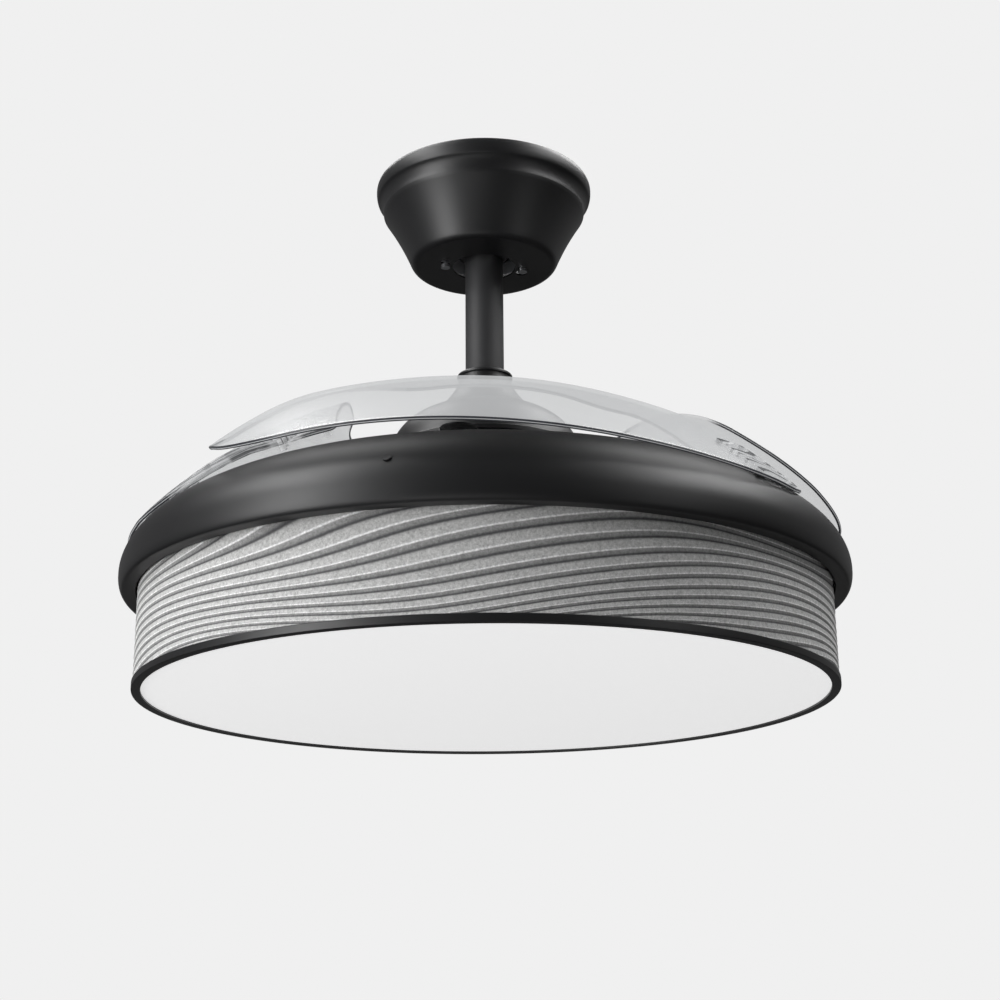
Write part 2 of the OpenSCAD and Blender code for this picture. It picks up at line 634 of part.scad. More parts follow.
// Foot: pinion, boss and arm on the post, and a ribbed pad under the blade's root
pad_t = 2.4;
seat_gap = 0.75;
pad_place = [root_az - 2, root_az - 20];
pad_r = root_r(0.679);
arm_r = [pivot_r - 8, pivot_r + 11];
module foot_arm() {
    linear_extrude(arm_h) {
        polygon(concat([for (i = [0:10]) pol(arm_r[0], pivot_az + (pad_place[1] - pivot_az) * i / 10)],
            [for (i = [10:-1:0]) pol(arm_r[1], pivot_az + (pad_place[1] - pivot_az) * i / 10)]));
    }
}

module foot_rib(a) {
    rib_t = 2;
    n = 4;
    r1 = arm_r[0] + 2;
    r2 = pad_r - 2;
    grid = [for (i = [0:n]) for (s = [-1, 1]) let (r = r1 + (r2 - r1) * i / n)
        [r, a + s * rib_t / 2 / r * 180 / PI]];
    function high(r) = min(shell_z(r, a) - blade_t - pad_t / 2, arm_z + arm_h + 1 + (r - r1) * 1.1);
    slab([for (p = grid) at(pol(p[0], p[1]), high(p[0]))], [for (p = grid) at(pol(p[0], p[1]), arm_z)], n, 1);
}

module blade_foot() {
    n = 6;
    m = 5;
    grid = [for (i = [0:n]) for (j = [0:m]) let (a = pad_place[0] + (pad_place[1] - pad_place[0]) * i / n)
        [max(inner_edge(a) + 1.5, arm_r[0]) * (1 - j / m) + pad_r * j / m, a]];
    color(milk, 0.7) difference() {
        union() {
            translate(at(pol(pivot_r, pivot_az), gear_z)) cylinder(r = boss_r, h = boss_top_z - gear_z, $fn = 48);
            translate(at(pol(pivot_r, pivot_az), gear_z)) linear_extrude(gear_h) pinion_outline();
            translate([0, 0, arm_z]) foot_arm();
            slab([for (p = grid) shell_point(p, blade_t + seat_gap)], [for (p = grid) shell_point(p, blade_t + pad_t)], n, m);
            for (a = [18, 12, 6]) foot_rib(root_az - a);
            for (p = screw_places) on_shell(p) translate([0, 0, -blade_t - 7]) cylinder(r = 3.8, h = 6.1, $fn = 24);
        }
        translate(at(pol(pivot_r, pivot_az), gear_z - 1)) cylinder(r = post_r + run_fit, h = 40, $fn = 48);
        translate(at(pol(pivot_r, pivot_az), gear_top_z)) cylinder(r = spring_well_r, h = 40, $fn = 48);
        for (p = screw_places) on_shell(p) translate([0, 0, -blade_t - 6])
            cylinder(r = blade_screw_r + run_fit, h = 8, $fn = 24);
    }
}

module blade_screws() {
    color(steel) for (p = screw_places) on_shell(p) translate([0, 0, 0.25]) screw(blade_screw_r, 8, 3.8, 1.8);
}

// ---- Lamp ----
function shoulder_point(t, inset) = [shoulder_r + (shoulder_w - inset) * sin(t), wide_z + (shoulder_h - inset) * cos(t)];
module top_cover() {
    t0 = asin(crest_sin);
    n = 14;
    outline = concat([[crest_r - 1.6, crest_z - 5], [crest_r - 1.4, crest_z - 1.8]],
        [for (i = [0:n]) shoulder_point(t0 + (90 - t0) * i / n, 0)],
        bez([body_r - 0.2, wide_z - skirt_h * 0.5], [body_r - 0.6, rim_z + 0.8], [body_r - 3, rim_z], 4),
        [[shade_r + 1.2, rim_z]]);
    color(black) difference() {
        spun(sheet(outline, -cover_wall));
        cover_screw_holes();
    }
}

cover_screw_t = 73;
cover_screw_r = 1.5;
module at_cover_screws() {
    p = shoulder_point(cover_screw_t, 0);
    tilt = atan2(shoulder_w * cos(cover_screw_t), shoulder_h * sin(cover_screw_t));
    for (k = [0:3]) rotate([0, 0, -12.6 + 90 * k]) translate([0, -p[0], p[1]]) rotate([90 - tilt, 0, 0]) children();
}
module cover_screw_holes() {
    at_cover_screws() translate([0, 0, -8]) cylinder(r = cover_screw_r + 0.1, h = 10, $fn = 24);
}

module cover_screws() {
    color("#151516") at_cover_screws() screw(cover_screw_r, 7, 2.6, 1);
}

module lamp_pan() {
    fit = cover_wall + slide_gap;
    t1 = acos((pan_under_z - wide_z) / (shoulder_h - fit));
    t0 = cover_screw_t - 6;
    n = 5;
    rim = [for (i = [0:n]) shoulder_point(t0 + (t1 - t0) * i / n, fit)];
    outline = concat(rim, [[shaft_r + 0.5, pan_under_z]]);
    color("#d8d9da") difference() {
        spun(sheet(outline, -cover_wall));
        cover_screw_holes();
    }
}

module shaft_nuts() {
    color(steel) for (z = [pan_z, pan_under_z - 6]) translate([0, 0, z]) difference() {
        cylinder(r = 13.5, h = 6, $fn = 6);
        translate([0, 0, -1]) cylinder(r = shaft_r, h = 8, $fn = 48);
    }
}

module shade() {
    color("#c4c4c3") tube(shade_r - shade_wall, shade_r, shade_end_z, shade_top_z);
}

module shade_brackets() {
    r = shade_r - shade_wall;
    leg = 2;
    foot = 13;
    drop = 17;
    color(steel) for (k = [0:3]) rotate([0, 0, 42 + 90 * k]) rotate_extrude(angle = 6, $fn = FN)
        polygon([[r - foot, pan_under_z], [r, pan_under_z], [r, pan_under_z - drop], [r - leg, pan_under_z - drop],
            [r - leg, pan_under_z - leg], [r - foot, pan_under_z - leg]]);
}

trim_inner_r = shade_r + 0.8 - trim_w;
module bottom_trim() {
    inner = shade_r - shade_wall - 0.2;
    color(black) spun([[trim_inner_r, trim_end_z], [shade_r + 0.8, trim_end_z], [shade_r + 0.8, shade_end_z],
        [inner, shade_end_z], [inner, shade_end_z + 10], [inner - 1.8, shade_end_z + 10],
        [inner - 1.8, trim_end_z + lip_t], [trim_inner_r, trim_end_z + lip_t]]);
}

module diffuser() {
    r = shade_r - shade_wall - 2.3;
    color("white") translate([0, 0, trim_end_z + lip_t]) cylinder(r = r, h = diffuser_t, $fn = FN);
}

standoff_ring = board_r - 20;
module led_board() {
    color("#eef0ee") difference() {
        translate([0, 0, board_z - 1.6]) cylinder(r = board_r, h = 1.6, $fn = FN);
        translate([0, 0, board_z - 3]) cylinder(r = 12, h = 5, $fn = 48);
    }
}

module led_chips() {
    chip = 5;
    color("#f4e9a8") for (row = [[40, 10], [82, 18], [122, 26]]) around(row[1], row[0])
        translate([-chip / 2, -chip / 2, board_z - 2.8]) cube([chip, chip, 1.2]);
}

module board_standoffs() {
    color(steel) translate([0, 0, board_z]) around(6, standoff_ring, 30) cylinder(r = 4, h = board_gap, $fn = 6);
}

// Housing hung under the pan, with a flange at each end
module gear_box(size, x) {
    translate([x - size[0] / 2, -size[1] / 2, pan_under_z - size[2]]) cube(size);
    translate([x - size[0] / 4, -size[1] / 2 - 7, pan_under_z - 2]) cube([size[0] / 2, size[1] + 14, 2]);
}
module led_driver() { color("#e6e6e4") gear_box([44, 110, 24], 78); }
module receiver_box() { color("#ececea") gear_box([38, 84, 18], -78); }

module turned(k) { rotate([0, 0, -120 * k]) children(); }

hanger_bracket();
canopy();
canopy_screws();
hanger_ball();
ball_pin();
downrod();
collar();
motor_bell();
shaft_coupler();
coupler_bolts();
motor_shaft();
stator_core();
stator_windings();
rotor_cover();
rotor_pot();
rotor_screws();
rotor_magnets();
upper_bearing();
lower_bearing();
blade_tray();
tray_screws();
pivot_posts();
post_clips();
return_springs();
ring_guides();
sync_ring();
turned(0) blade_foot();  // blade_foot_1
turned(1) blade_foot();  // blade_foot_2
turned(2) blade_foot();  // blade_foot_3
turned(0) blade();  // blade_1
turned(1) blade();  // blade_2
turned(2) blade();  // blade_3
turned(0) blade_screws();  // blade_screws_1
turned(1) blade_screws();  // blade_screws_2
turned(2) blade_screws();  // blade_screws_3
lamp_pan();
shaft_nuts();
top_cover();
cover_screws();
shade();
shade_brackets();
bottom_trim();
diffuser();
led_board();
led_chips();
board_standoffs();
led_driver();
receiver_box();
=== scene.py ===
"""Looks of a ceiling fan whose see-through blades fold over its drum lamp.

Metres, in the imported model's frame: the origin lies in the ceiling plane on the fan's axis, +Z is up and -Y is the
front. Azimuths run from the front towards +X.
"""

import math

import bmesh
import bpy
from bpy.props import FloatProperty, FloatVectorProperty, IntProperty, PointerProperty
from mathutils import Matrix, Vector


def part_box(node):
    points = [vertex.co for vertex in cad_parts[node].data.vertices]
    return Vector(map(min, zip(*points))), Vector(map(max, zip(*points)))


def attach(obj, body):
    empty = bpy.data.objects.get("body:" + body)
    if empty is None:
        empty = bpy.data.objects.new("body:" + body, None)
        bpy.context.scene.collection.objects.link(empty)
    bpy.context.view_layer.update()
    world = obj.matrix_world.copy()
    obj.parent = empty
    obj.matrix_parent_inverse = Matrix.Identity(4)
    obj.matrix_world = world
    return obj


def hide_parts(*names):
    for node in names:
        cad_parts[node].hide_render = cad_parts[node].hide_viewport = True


bl_info = {
    "name": "Folding-blade ceiling fan",
    "version": (1, 0, 0),
    "blender": (4, 5, 0),
    "location": "View3D > Sidebar > Fan",
    "description": "Dresses the fan's canopy, bell, lamp drum and folding blades, and lights them",
    "category": "Object",
}

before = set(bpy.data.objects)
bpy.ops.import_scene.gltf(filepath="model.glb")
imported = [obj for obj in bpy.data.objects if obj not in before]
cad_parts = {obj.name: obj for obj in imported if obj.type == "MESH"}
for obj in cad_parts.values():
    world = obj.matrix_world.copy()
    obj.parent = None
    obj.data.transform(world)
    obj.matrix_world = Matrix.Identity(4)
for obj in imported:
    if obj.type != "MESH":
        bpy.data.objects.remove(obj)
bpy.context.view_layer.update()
MM = 0.001
TURN = 2 * math.pi


def top_of(node):
    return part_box(node)[1].z


def foot_of(node):
    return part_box(node)[0].z


def reach_of(node):
    """Largest radius of a round node, from its box."""
    low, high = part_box(node)
    return max(high.x, -low.x, high.y, -low.y)


# ---------------------------------------------------------------------------------------------
# Sizes and colours that a user would change
# ---------------------------------------------------------------------------------------------


def length(name, description, default):
    return FloatProperty(
        name=name, description=description, default=default, min=0, max=2, unit="LENGTH", precision=4
    )


def factor(name, description, default):
    return FloatProperty(name=name, description=description, default=default, min=0, max=1, subtype="FACTOR")


def colour(name, description, default):
    return FloatVectorProperty(
        name=name, description=description, default=default, subtype="COLOR", size=3, min=0, max=1
    )


class FanSizes(bpy.types.PropertyGroup):
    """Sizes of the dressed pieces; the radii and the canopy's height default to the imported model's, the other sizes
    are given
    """

    sheet_wall: length("Sheet wall", "Thickness of the spun sheet metal", 1.2 * MM)
    canopy_radius: length("Canopy radius", "Widest radius of the canopy", reach_of("canopy"))
    canopy_height: length("Canopy height", "Height of the canopy below the ceiling", -foot_of("canopy"))
    rod_radius: length("Rod radius", "Radius of the downrod", reach_of("downrod"))
    neck_radius: length("Neck radius", "Radius of the bell's neck and of its collar", reach_of("collar"))
    bell_radius: length("Bell radius", "Radius of the bell's open rim", reach_of("motor_bell"))
    body_radius: length("Cover radius", "Widest radius of the black cover", reach_of("top_cover"))
    shoulder_height: length("Shoulder height", "Rise of the cover's round shoulder", 59 * MM)
    shoulder_width: length("Shoulder width", "Half width of the cover's round shoulder", 120 * MM)
    shade_radius: length("Shade radius", "Outer radius of the shade", reach_of("shade"))
    ridge_height: length("Ridge height", "Height of the shade's waved ridges", 0.9 * MM)
    trim_width: length("Trim width", "Width of the trim's bottom face", 6.2 * MM)
    blade_thickness: length("Blade thickness", "Thickness of a blade", 2.4 * MM)
    ridge_rows: IntProperty(
        name="Ridge rows", description="Rows of faces down the shade, which draw its ridges",
        default=168, min=40, max=240,
    )


class FanColours(bpy.types.PropertyGroup):
    """Colours and finishes, as linear values"""

    paint: colour("Paint", "Satin black paint of the metal", (0.0070, 0.0070, 0.0078))
    paint_roughness: factor("Paint roughness", "Roughness of the black paint", 0.43)
    blade: colour("Blade", "Milky tint of the blades", (0.14, 0.142, 0.144))
    blade_cover: factor("Blade cover", "Share of the light that each face of a blade holds back", 0.41)
    # Painted glow: the blades' emission, which stands in for the light scattered in them, even all over.
    blade_painted_glow: FloatProperty(
        name="Blade glow", description="Scattered light that leaves a blade evenly", default=3.1, min=0, max=5
    )
    sand: colour("Shade", "Sandy face of the shade's bands", (0.56, 0.56, 0.555))
    groove: colour("Shade groove", "Shadowed groove between the shade's bands", (0.075, 0.075, 0.078))
    diffuser: colour("Diffuser", "Opal white of the diffuser", (0.80, 0.80, 0.805))
    backdrop: colour("Backdrop", "Pale wall and floor", (0.871, 0.871, 0.871))


# ---------------------------------------------------------------------------------------------
# Modelling helpers
# ---------------------------------------------------------------------------------------------


def start_clean():
    if bpy.context.object and bpy.context.object.mode != "OBJECT":
        bpy.ops.object.mode_set(mode="OBJECT")
    bpy.ops.object.select_all(action="DESELECT")


def name_piece(name):
    piece = bpy.context.object
    piece.name = name
    piece.data.name = name
    return piece


def pick_only(piece):
    start_clean()
    piece.select_set(True)
    bpy.context.view_layer.objects.active = piece


def settle(piece, angle=30):
    """Applies the piece's own place to its mesh, and shades it."""
    pick_only(piece)
    bpy.ops.object.transform_apply(location=True, rotation=True, scale=True)
    bpy.ops.object.shade_smooth_by_angle(angle=math.radians(angle))


def finish_modifiers(piece):
    pick_only(piece)
    for modifier in list(piece.modifiers):
        bpy.ops.object.modifier_apply(modifier=modifier.name)


def recalculate_normals():
    bpy.ops.object.mode_set(mode="EDIT")
    bpy.ops.mesh.select_all(action="SELECT")
    bpy.ops.mesh.normals_make_consistent(inside=False)
    bpy.ops.object.mode_set(mode="OBJECT")


def face_up(sheet):
    """Turns an open sheet's faces upwards, before it gets its wall."""
    recalculate_normals()
    if sum(face.normal.z * face.area for face in sheet.data.polygons) < 0:
        sheet.data.flip_normals()


def spin_outline(name, outline, steps, closed=True):
    """Lathe: draws the outline of (radius, height) corner by corner, and spins it about the fan's axis."""
    start_clean()
    bpy.ops.mesh.primitive_plane_add(size=2 * MM, location=(outline[0][0], 0, outline[0][1]))
    piece = name_piece(name)
    bpy.ops.object.mode_set(mode="EDIT")
    bpy.ops.mesh.select_all(action="SELECT")
    bpy.ops.mesh.merge(type="CENTER")
    for (r0, z0), (r1, z1) in zip(outline, outline[1:]):
        bpy.ops.mesh.extrude_region_move(TRANSFORM_OT_translate={"value": (r1 - r0, 0, z1 - z0)})
    if closed:
        bpy.ops.mesh.select_all(action="SELECT")
        data = bmesh.from_edit_mesh(piece.data)
        data.verts.ensure_lookup_table()
        ends = [v for v in data.verts if len(v.link_edges) == 1]
        bpy.ops.mesh.select_all(action="DESELECT")
        for v in ends:
            v.select = True
        bmesh.update_edit_mesh(piece.data)
        bpy.ops.mesh.edge_face_add()
    bpy.ops.mesh.select_all(action="SELECT")
    bpy.ops.mesh.spin(steps=steps, angle=TURN, center=(0, 0, 0), axis=(0, 0, 1), use_auto_merge=True)
    bpy.ops.mesh.select_all(action="SELECT")
    bpy.ops.mesh.remove_doubles(threshold=0.01 * MM)
    bpy.ops.mesh.normals_make_consistent(inside=False)
    bpy.ops.object.mode_set(mode="OBJECT")
    return piece


def curve_through(a, b, c, steps):
    """Corners on the curve that leaves a towards b and arrives at c from b."""
    return [
        tuple(p * (1 - t) ** 2 + q * 2 * t * (1 - t) + r * t * t for p, q, r in zip(a, b, c))
        for t in (i / steps for i in range(steps + 1))
    ]


def with_wall(outline, wall):
    """Closes an open outline into a sheet of that wall, on the outline's left; a negative wall lies on its right."""
    inner = []
    for i, (r, z) in enumerate(outline):
        r0, z0 = outline[max(i - 1, 0)]
        r1, z1 = outline[min(i + 1, len(outline) - 1)]
        size = math.hypot(r1 - r0, z1 - z0)
        inner.append((r - (z1 - z0) / size * wall, z + (r1 - r0) / size * wall))
    return outline + inner[::-1]


def cut_with(piece, cutter):
    """Cuts the cutter's shape out of the piece, and removes the cutter."""
    modifier = piece.modifiers.new("cut", "BOOLEAN")
    modifier.object = cutter
    modifier.operation = "DIFFERENCE"
    modifier.solver = "EXACT"
    finish_modifiers(piece)
    bpy.data.objects.remove(cutter)


def polar(radius, azimuth):
    """Place in plan, by an azimuth in degrees from the front towards +X."""
    angle = math.radians(azimuth)
    return radius * math.sin(angle), -radius * math.cos(angle)


# ---------------------------------------------------------------------------------------------
# Finishes
# ---------------------------------------------------------------------------------------------


class Nodes:
    """Short ways to add and join shader nodes."""

    def __init__(self, tree):
        self.tree = tree

    def add(self, kind, **settings):
        node = self.tree.nodes.new(kind)
        for key, value in settings.items():
            setattr(node, key, value)
        return node

    def join(self, source, target):
        """Joins a socket to an input, or sets a plain value on it."""
        if isinstance(source, bpy.types.NodeSocket):
            self.tree.links.new(source, target)
        else:
            target.default_value = source

    def maths(self, operation, *values, clamp=False):
        node = self.add("ShaderNodeMath", operation=operation, use_clamp=clamp)
        for value, socket in zip(values, node.inputs):
            self.join(value, socket)
        return node.outputs[0]

    def mix(self, share, dark, light):
        """A colour between two, by a share; a colour is a socket or three numbers."""
        node = self.add("ShaderNodeMix", data_type="RGBA")
        self.join(share, node.inputs[0])
        for value, socket in ((dark, node.inputs[6]), (light, node.inputs[7])):
            self.join((*value, 1) if isinstance(value, tuple) else value, socket)
        return node.outputs[2]

    def place(self):
        return self.add("ShaderNodeTexCoord").outputs["Object"]

    def noise(self, place, scale, detail, roughness):
        node = self.add("ShaderNodeTexNoise")
        for value, label in ((place, "Vector"), (scale, "Scale"), (detail, "Detail"), (roughness, "Roughness")):
            self.join(value, node.inputs[label])
        return node.outputs["Fac"]

    def clouded(self, dark, light, scale, detail, roughness):
        """A colour that drifts between two over the surface."""
        return self.mix(self.noise(self.place(), scale, detail, roughness), dark, light)

    def attribute(self, name):
        return self.add("ShaderNodeAttribute", attribute_name=name).outputs["Fac"]

    def map_range(self, value, source, target, kind):
        node = self.add("ShaderNodeMapRange", interpolation_type=kind)
        self.join(value, node.inputs["Value"])
        for limit, label in zip((*source, *target), ("From Min", "From Max", "To Min", "To Max")):
            node.inputs[label].default_value = limit
        return node.outputs["Result"]

    def bump(self, shader, height, strength, depth):
        node = self.add("ShaderNodeBump")
        node.inputs["Strength"].default_value = strength
        node.inputs["Distance"].default_value = depth
        self.join(height, node.inputs["Height"])
        self.join(node.outputs["Normal"], shader.inputs["Normal"])


def toned(base, share):
    return tuple(min(1, c * share) for c in base)


def surface_grain_group():
    """Fine grain of a painted, moulded or drawn surface: a varied roughness and a height for a bump."""
    group = bpy.data.node_groups.get("surface grain")
    if group:
        return group
    group = bpy.data.node_groups.new("surface grain", "ShaderNodeTree")
    for label, default in (("Grain scale", 2600.0), ("Roughness", 0.4), ("Roughness spread", 0.08)):
        group.interface.new_socket(label, in_out="INPUT", socket_type="NodeSocketFloat").default_value = default
    for label in ("Roughness", "Height"):
        group.interface.new_socket(label, in_out="OUTPUT", socket_type="NodeSocketFloat")
    n = Nodes(group)
    given = n.add("NodeGroupInput").outputs
    result = n.add("NodeGroupOutput").inputs
    place = n.place()
    fine = n.noise(place, given["Grain scale"], detail=3.0, roughness=0.5)
    broad = n.noise(place, scale=38.0, detail=3.0, roughness=0.55)
    spread = n.maths("MULTIPLY", n.maths("SUBTRACT", broad, 0.5), given["Roughness spread"])
    n.join(n.maths("ADD", given["Roughness"], spread, clamp=True), result["Roughness"])
    n.join(fine, result["Height"])
    return group


def new_finish(name):
    """A new material with its nodes and shader, or the one of that name with neither, once it is made."""
    material = bpy.data.materials.get(name)
    if material:
        return material, None, None
    material = bpy.data.materials.new(name)
    material.use_nodes = True
    return material, Nodes(material.node_tree), material.node_tree.nodes["Principled BSDF"]


def add_grain(n, shader, scale, roughness, spread, depth):
    """Grain by its scale, the roughness and how much that varies, and the bump's depth in metres."""
    grain = n.add("ShaderNodeGroup", node_tree=surface_grain_group())
    for label, value in (("Grain scale", scale), ("Roughness", roughness), ("Roughness spread", spread)):
        grain.inputs[label].default_value = value
    n.join(grain.outputs["Roughness"], shader.inputs["Roughness"])
    n.bump(shader, grain.outputs["Height"], strength=1.0, depth=depth)


def solid_finish(name, base, roughness, metallic, spread, scale, depth, tone):
    """A grained finish with one colour, which varies by its tone over the surface."""
    material, n, shader = new_finish(name)
    if n is None:
        return material
    add_grain(n, shader, scale, roughness, spread, depth)
    shader.inputs["Metallic"].default_value = metallic
    tint = n.clouded(toned(base, 1 - tone), toned(base, 1 + tone), scale=60.0, detail=4.0, roughness=0.6)
    n.join(tint, shader.inputs["Base Color"])
    return material


def black_paint():
    look = bpy.context.scene.fan_colours
    material, n, shader = new_finish("satin black paint")
    if n is None:
        return material
    add_grain(n, shader, scale=3200.0, roughness=look.paint_roughness, spread=0.05, depth=0.000004)
    tint = n.clouded(toned(look.paint, 0.92), toned(look.paint, 1.08), scale=24.0, detail=3.0, roughness=0.5)
    n.join(tint, shader.inputs["Base Color"])
    return material


def painted_glow(n, shader, tint, strength):
    """Painted glow: an emission that stands in for the light that scatters inside see-through plastic. It isn't thrown
    on the pieces around.
    """
    rays = n.add("ShaderNodeLightPath").outputs
    thrown = n.maths("MAXIMUM", rays["Is Glossy Ray"], rays["Is Diffuse Ray"])
    n.join(n.maths("MULTIPLY_ADD", thrown, -strength, strength), shader.inputs["Emission Strength"])
    n.join(tint, shader.inputs["Emission Color"])


def see_through(name, dark, light, drift, grain, glow):
    """A clear or milky plastic's colour, grain and painted glow. Its alpha and its gloss are set by the caller."""
    material, n, shader = new_finish(name)
    if n:
        add_grain(n, shader, **grain)
        tint = n.clouded(dark, light, **drift)
        n.join(tint, shader.inputs["Base Color"])
        painted_glow(n, shader, tint, glow)
    return material, n, shader


def milky_plastic():
    """The blades' faces, which hide more seen aslant, and less where the "clear" attribute is set."""
    look = bpy.context.scene.fan_colours
    material, n, shader = see_through(
        "milky blade plastic", toned(look.blade, 0.97), toned(look.blade, 1.03),
        drift={"scale": 14.0, "detail": 2.0, "roughness": 0.5},
        grain={"scale": 900.0, "roughness": 0.24, "spread": 0.05, "depth": 0.000002},
        glow=look.blade_painted_glow,
    )
    if n is None:
        return material
    slant = n.add("ShaderNodeLayerWeight")
    slant.inputs["Blend"].default_value = 0.5
    edgewise = n.maths("POWER", slant.outputs["Facing"], 4.0)
    cover = n.maths("MULTIPLY_ADD", edgewise, 0.22, look.blade_cover, clamp=True)
    kept = n.maths("MULTIPLY_ADD", n.attribute("clear"), -0.72, 1.0)
    n.join(n.maths("MULTIPLY", cover, kept), shader.inputs["Alpha"])
    shader.inputs["Specular IOR Level"].default_value = 0.22
    return material


def blade_edge_plastic(name, dark, light, cover):
    """The blade's rounded edge, dark with painted shade on its rounded faces and light with a painted highlight on its
    end face, for the light that the sheet bends there. It hardly shows where "faint" is set.
    """
    material, n, shader = see_through(
        name, dark, light,
        drift={"scale": 45.0, "detail": 2.0, "roughness": 0.5},
        grain={"scale": 1400.0, "roughness": 0.25, "spread": 0.06, "depth": 0.000004},
        glow=0.6,
    )
    if n is None:
        return material
    kept = n.maths("MULTIPLY_ADD", n.attribute("faint"), -0.88, 1.0)
    n.join(n.maths("MULTIPLY", kept, cover), shader.inputs["Alpha"])
    shader.inputs["Specular IOR Level"].default_value = 0.25
    return material


def foot_plastic():
    """The clear moulded feet under the blades, with a faint painted glow."""
    material, n, shader = see_through(
        "clear foot plastic", (0.20, 0.205, 0.21), (0.30, 0.305, 0.31),
        drift={"scale": 60.0, "detail": 3.0, "roughness": 0.6},
        grain={"scale": 700.0, "roughness": 0.2, "spread": 0.06, "depth": 0.00001},
        glow=0.3,
    )
    if n:
        shader.inputs["Alpha"].default_value = 0.02
    return material


def pale_screws():
    """The pale screws that show through the clear feet, with a painted glow."""
    return see_through(
        "pale plastic screws", (0.52, 0.525, 0.53), (0.60, 0.605, 0.61),
        drift={"scale": 120.0, "detail": 2.0, "roughness": 0.5},
        grain={"scale": 900.0, "roughness": 0.35, "spread": 0.06, "depth": 0.000005},
        glow=0.8,
    )[0]


def ribbed_plastic():
    """Nearly clear plastic, with painted shade in the troughs and painted highlights on the crests, drawn from the
    "fold" attribute, for the light that the ribs bend.
    """
    material, n, shader = new_finish("clear ribbed plastic")
    if n is None:
        return material
    add_grain(n, shader, scale=500.0, roughness=0.07, spread=0.05, depth=0.00002)
    fold = n.attribute("fold")
    trough = n.map_range(fold, (0.36, 0.22), (0.0, 1.0), "SMOOTHSTEP")
    crest = n.maths("MULTIPLY", n.maths("SUBTRACT", fold, 0.74), 6.0, clamp=True)
    # Painted shade of the troughs, and a near-white painted highlight on the crests.
    dark = n.clouded((0.02, 0.021, 0.023), (0.10, 0.102, 0.105), scale=90.0, detail=3.0, roughness=0.6)
    tint = n.mix(crest, dark, (0.85, 0.86, 0.87))
    n.join(tint, shader.inputs["Base Color"])
    painted_glow(n, shader, tint, 0.8)
    cover = n.maths("MULTIPLY_ADD", trough, 0.78, 0.06)
    n.join(n.maths("ADD", cover, n.maths("MULTIPLY", crest, 0.22), clamp=True), shader.inputs["Alpha"])
    shader.inputs["Specular IOR Level"].default_value = 0.3
    return material


def sandy_shade():
    """Sandy bands with a painted highlight on their upper edge, and painted shade on the grey slope and in the dark
    groove, drawn from the "ridge" attribute.
    """
    look = bpy.context.scene.fan_colours
    material, n, shader = new_finish("sandy ridged shade")
    if n is None:
        return material
    # The groove's colour is painted shade, and the lip's near-white is a painted highlight.
    sand, groove, lip = tuple(look.sand), tuple(look.groove), (0.93, 0.93, 0.93)
    # Stops across a ridge: painted shade in the groove and on the fall below the lip, the plain sand colour on the
    # band, and a painted highlight on the lip.
    stops = (
        (0.0, groove),
        (1.0, groove),
        (0.045, toned(groove, 1.6)),
        (0.12, toned(sand, 0.80)),
        (0.22, sand),
        (0.56, toned(sand, 1.04)),
        (0.615, lip),
        (0.655, lip),
        (0.70, toned(sand, 0.66)),
        (0.88, toned(sand, 0.52)),
        (0.96, toned(groove, 1.5)),
    )
    bands = n.add("ShaderNodeValToRGB")
    n.join(n.maths("FRACT", n.attribute("ridge")), bands.inputs["Fac"])
    elements = bands.color_ramp.elements
    for i, (position, shade) in enumerate(stops):
        element = elements[i] if i < 2 else elements.new(position)
        element.position, element.color = position, (*shade, 1)
    place = n.place()
    fine = n.noise(place, scale=1500.0, detail=4.0, roughness=0.75)
    coarse = n.noise(place, scale=520.0, detail=3.0, roughness=0.65)
    speck = n.maths("MULTIPLY_ADD", fine, 0.55, n.maths("MULTIPLY", coarse, 0.45))
    grit = n.map_range(speck, (0.37, 0.63), (0.52, 1.14), "LINEAR")
    gritty = n.add("ShaderNodeMix", data_type="RGBA", blend_type="MULTIPLY")
    for value, socket in ((1.0, 0), (bands.outputs["Color"], 6), (grit, 7)):
        n.join(value, gritty.inputs[socket])
    n.join(gritty.outputs[2], shader.inputs["Base Color"])
    shader.inputs["Roughness"].default_value = 0.82
    n.bump(shader, speck, strength=0.6, depth=0.0002)
    return material


def opal_diffuser():
    look = bpy.context.scene.fan_colours
    material, n, shader = new_finish("opal diffuser")
    if n is None:
        return material
    add_grain(n, shader, scale=1600.0, roughness=0.55, spread=0.06, depth=0.00001)
    base = look.diffuser
    tint = n.clouded(toned(base, 0.985), toned(base, 1.015), scale=7.0, detail=2.0, roughness=0.5)
    n.join(tint, shader.inputs["Base Color"])
    # Painted glow: an even white emission that keeps the diffuser flat and bright, in place of the light that falls on
    # it.
    shader.inputs["Emission Color"].default_value = (1, 1, 1, 1)
    shader.inputs["Emission Strength"].default_value = 0.62
    return material


def wear(piece, material):
    piece.data.materials.clear()
    piece.data.materials.append(material)


def place_on(piece, body, *nodes):
    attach(piece, body)
    if nodes:
        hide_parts(*nodes)


# ---------------------------------------------------------------------------------------------
# Pieces
# ---------------------------------------------------------------------------------------------


KEYHOLE_AZIMUTHS = (99, 279)
KEYHOLE_RADIUS = 28.7
# How far along the circle each of a keyhole's two round cuts lies, and its radius, in millimetres.
KEYHOLE_CUTS = ((0.0, 2.0), (5.6, 4.2))


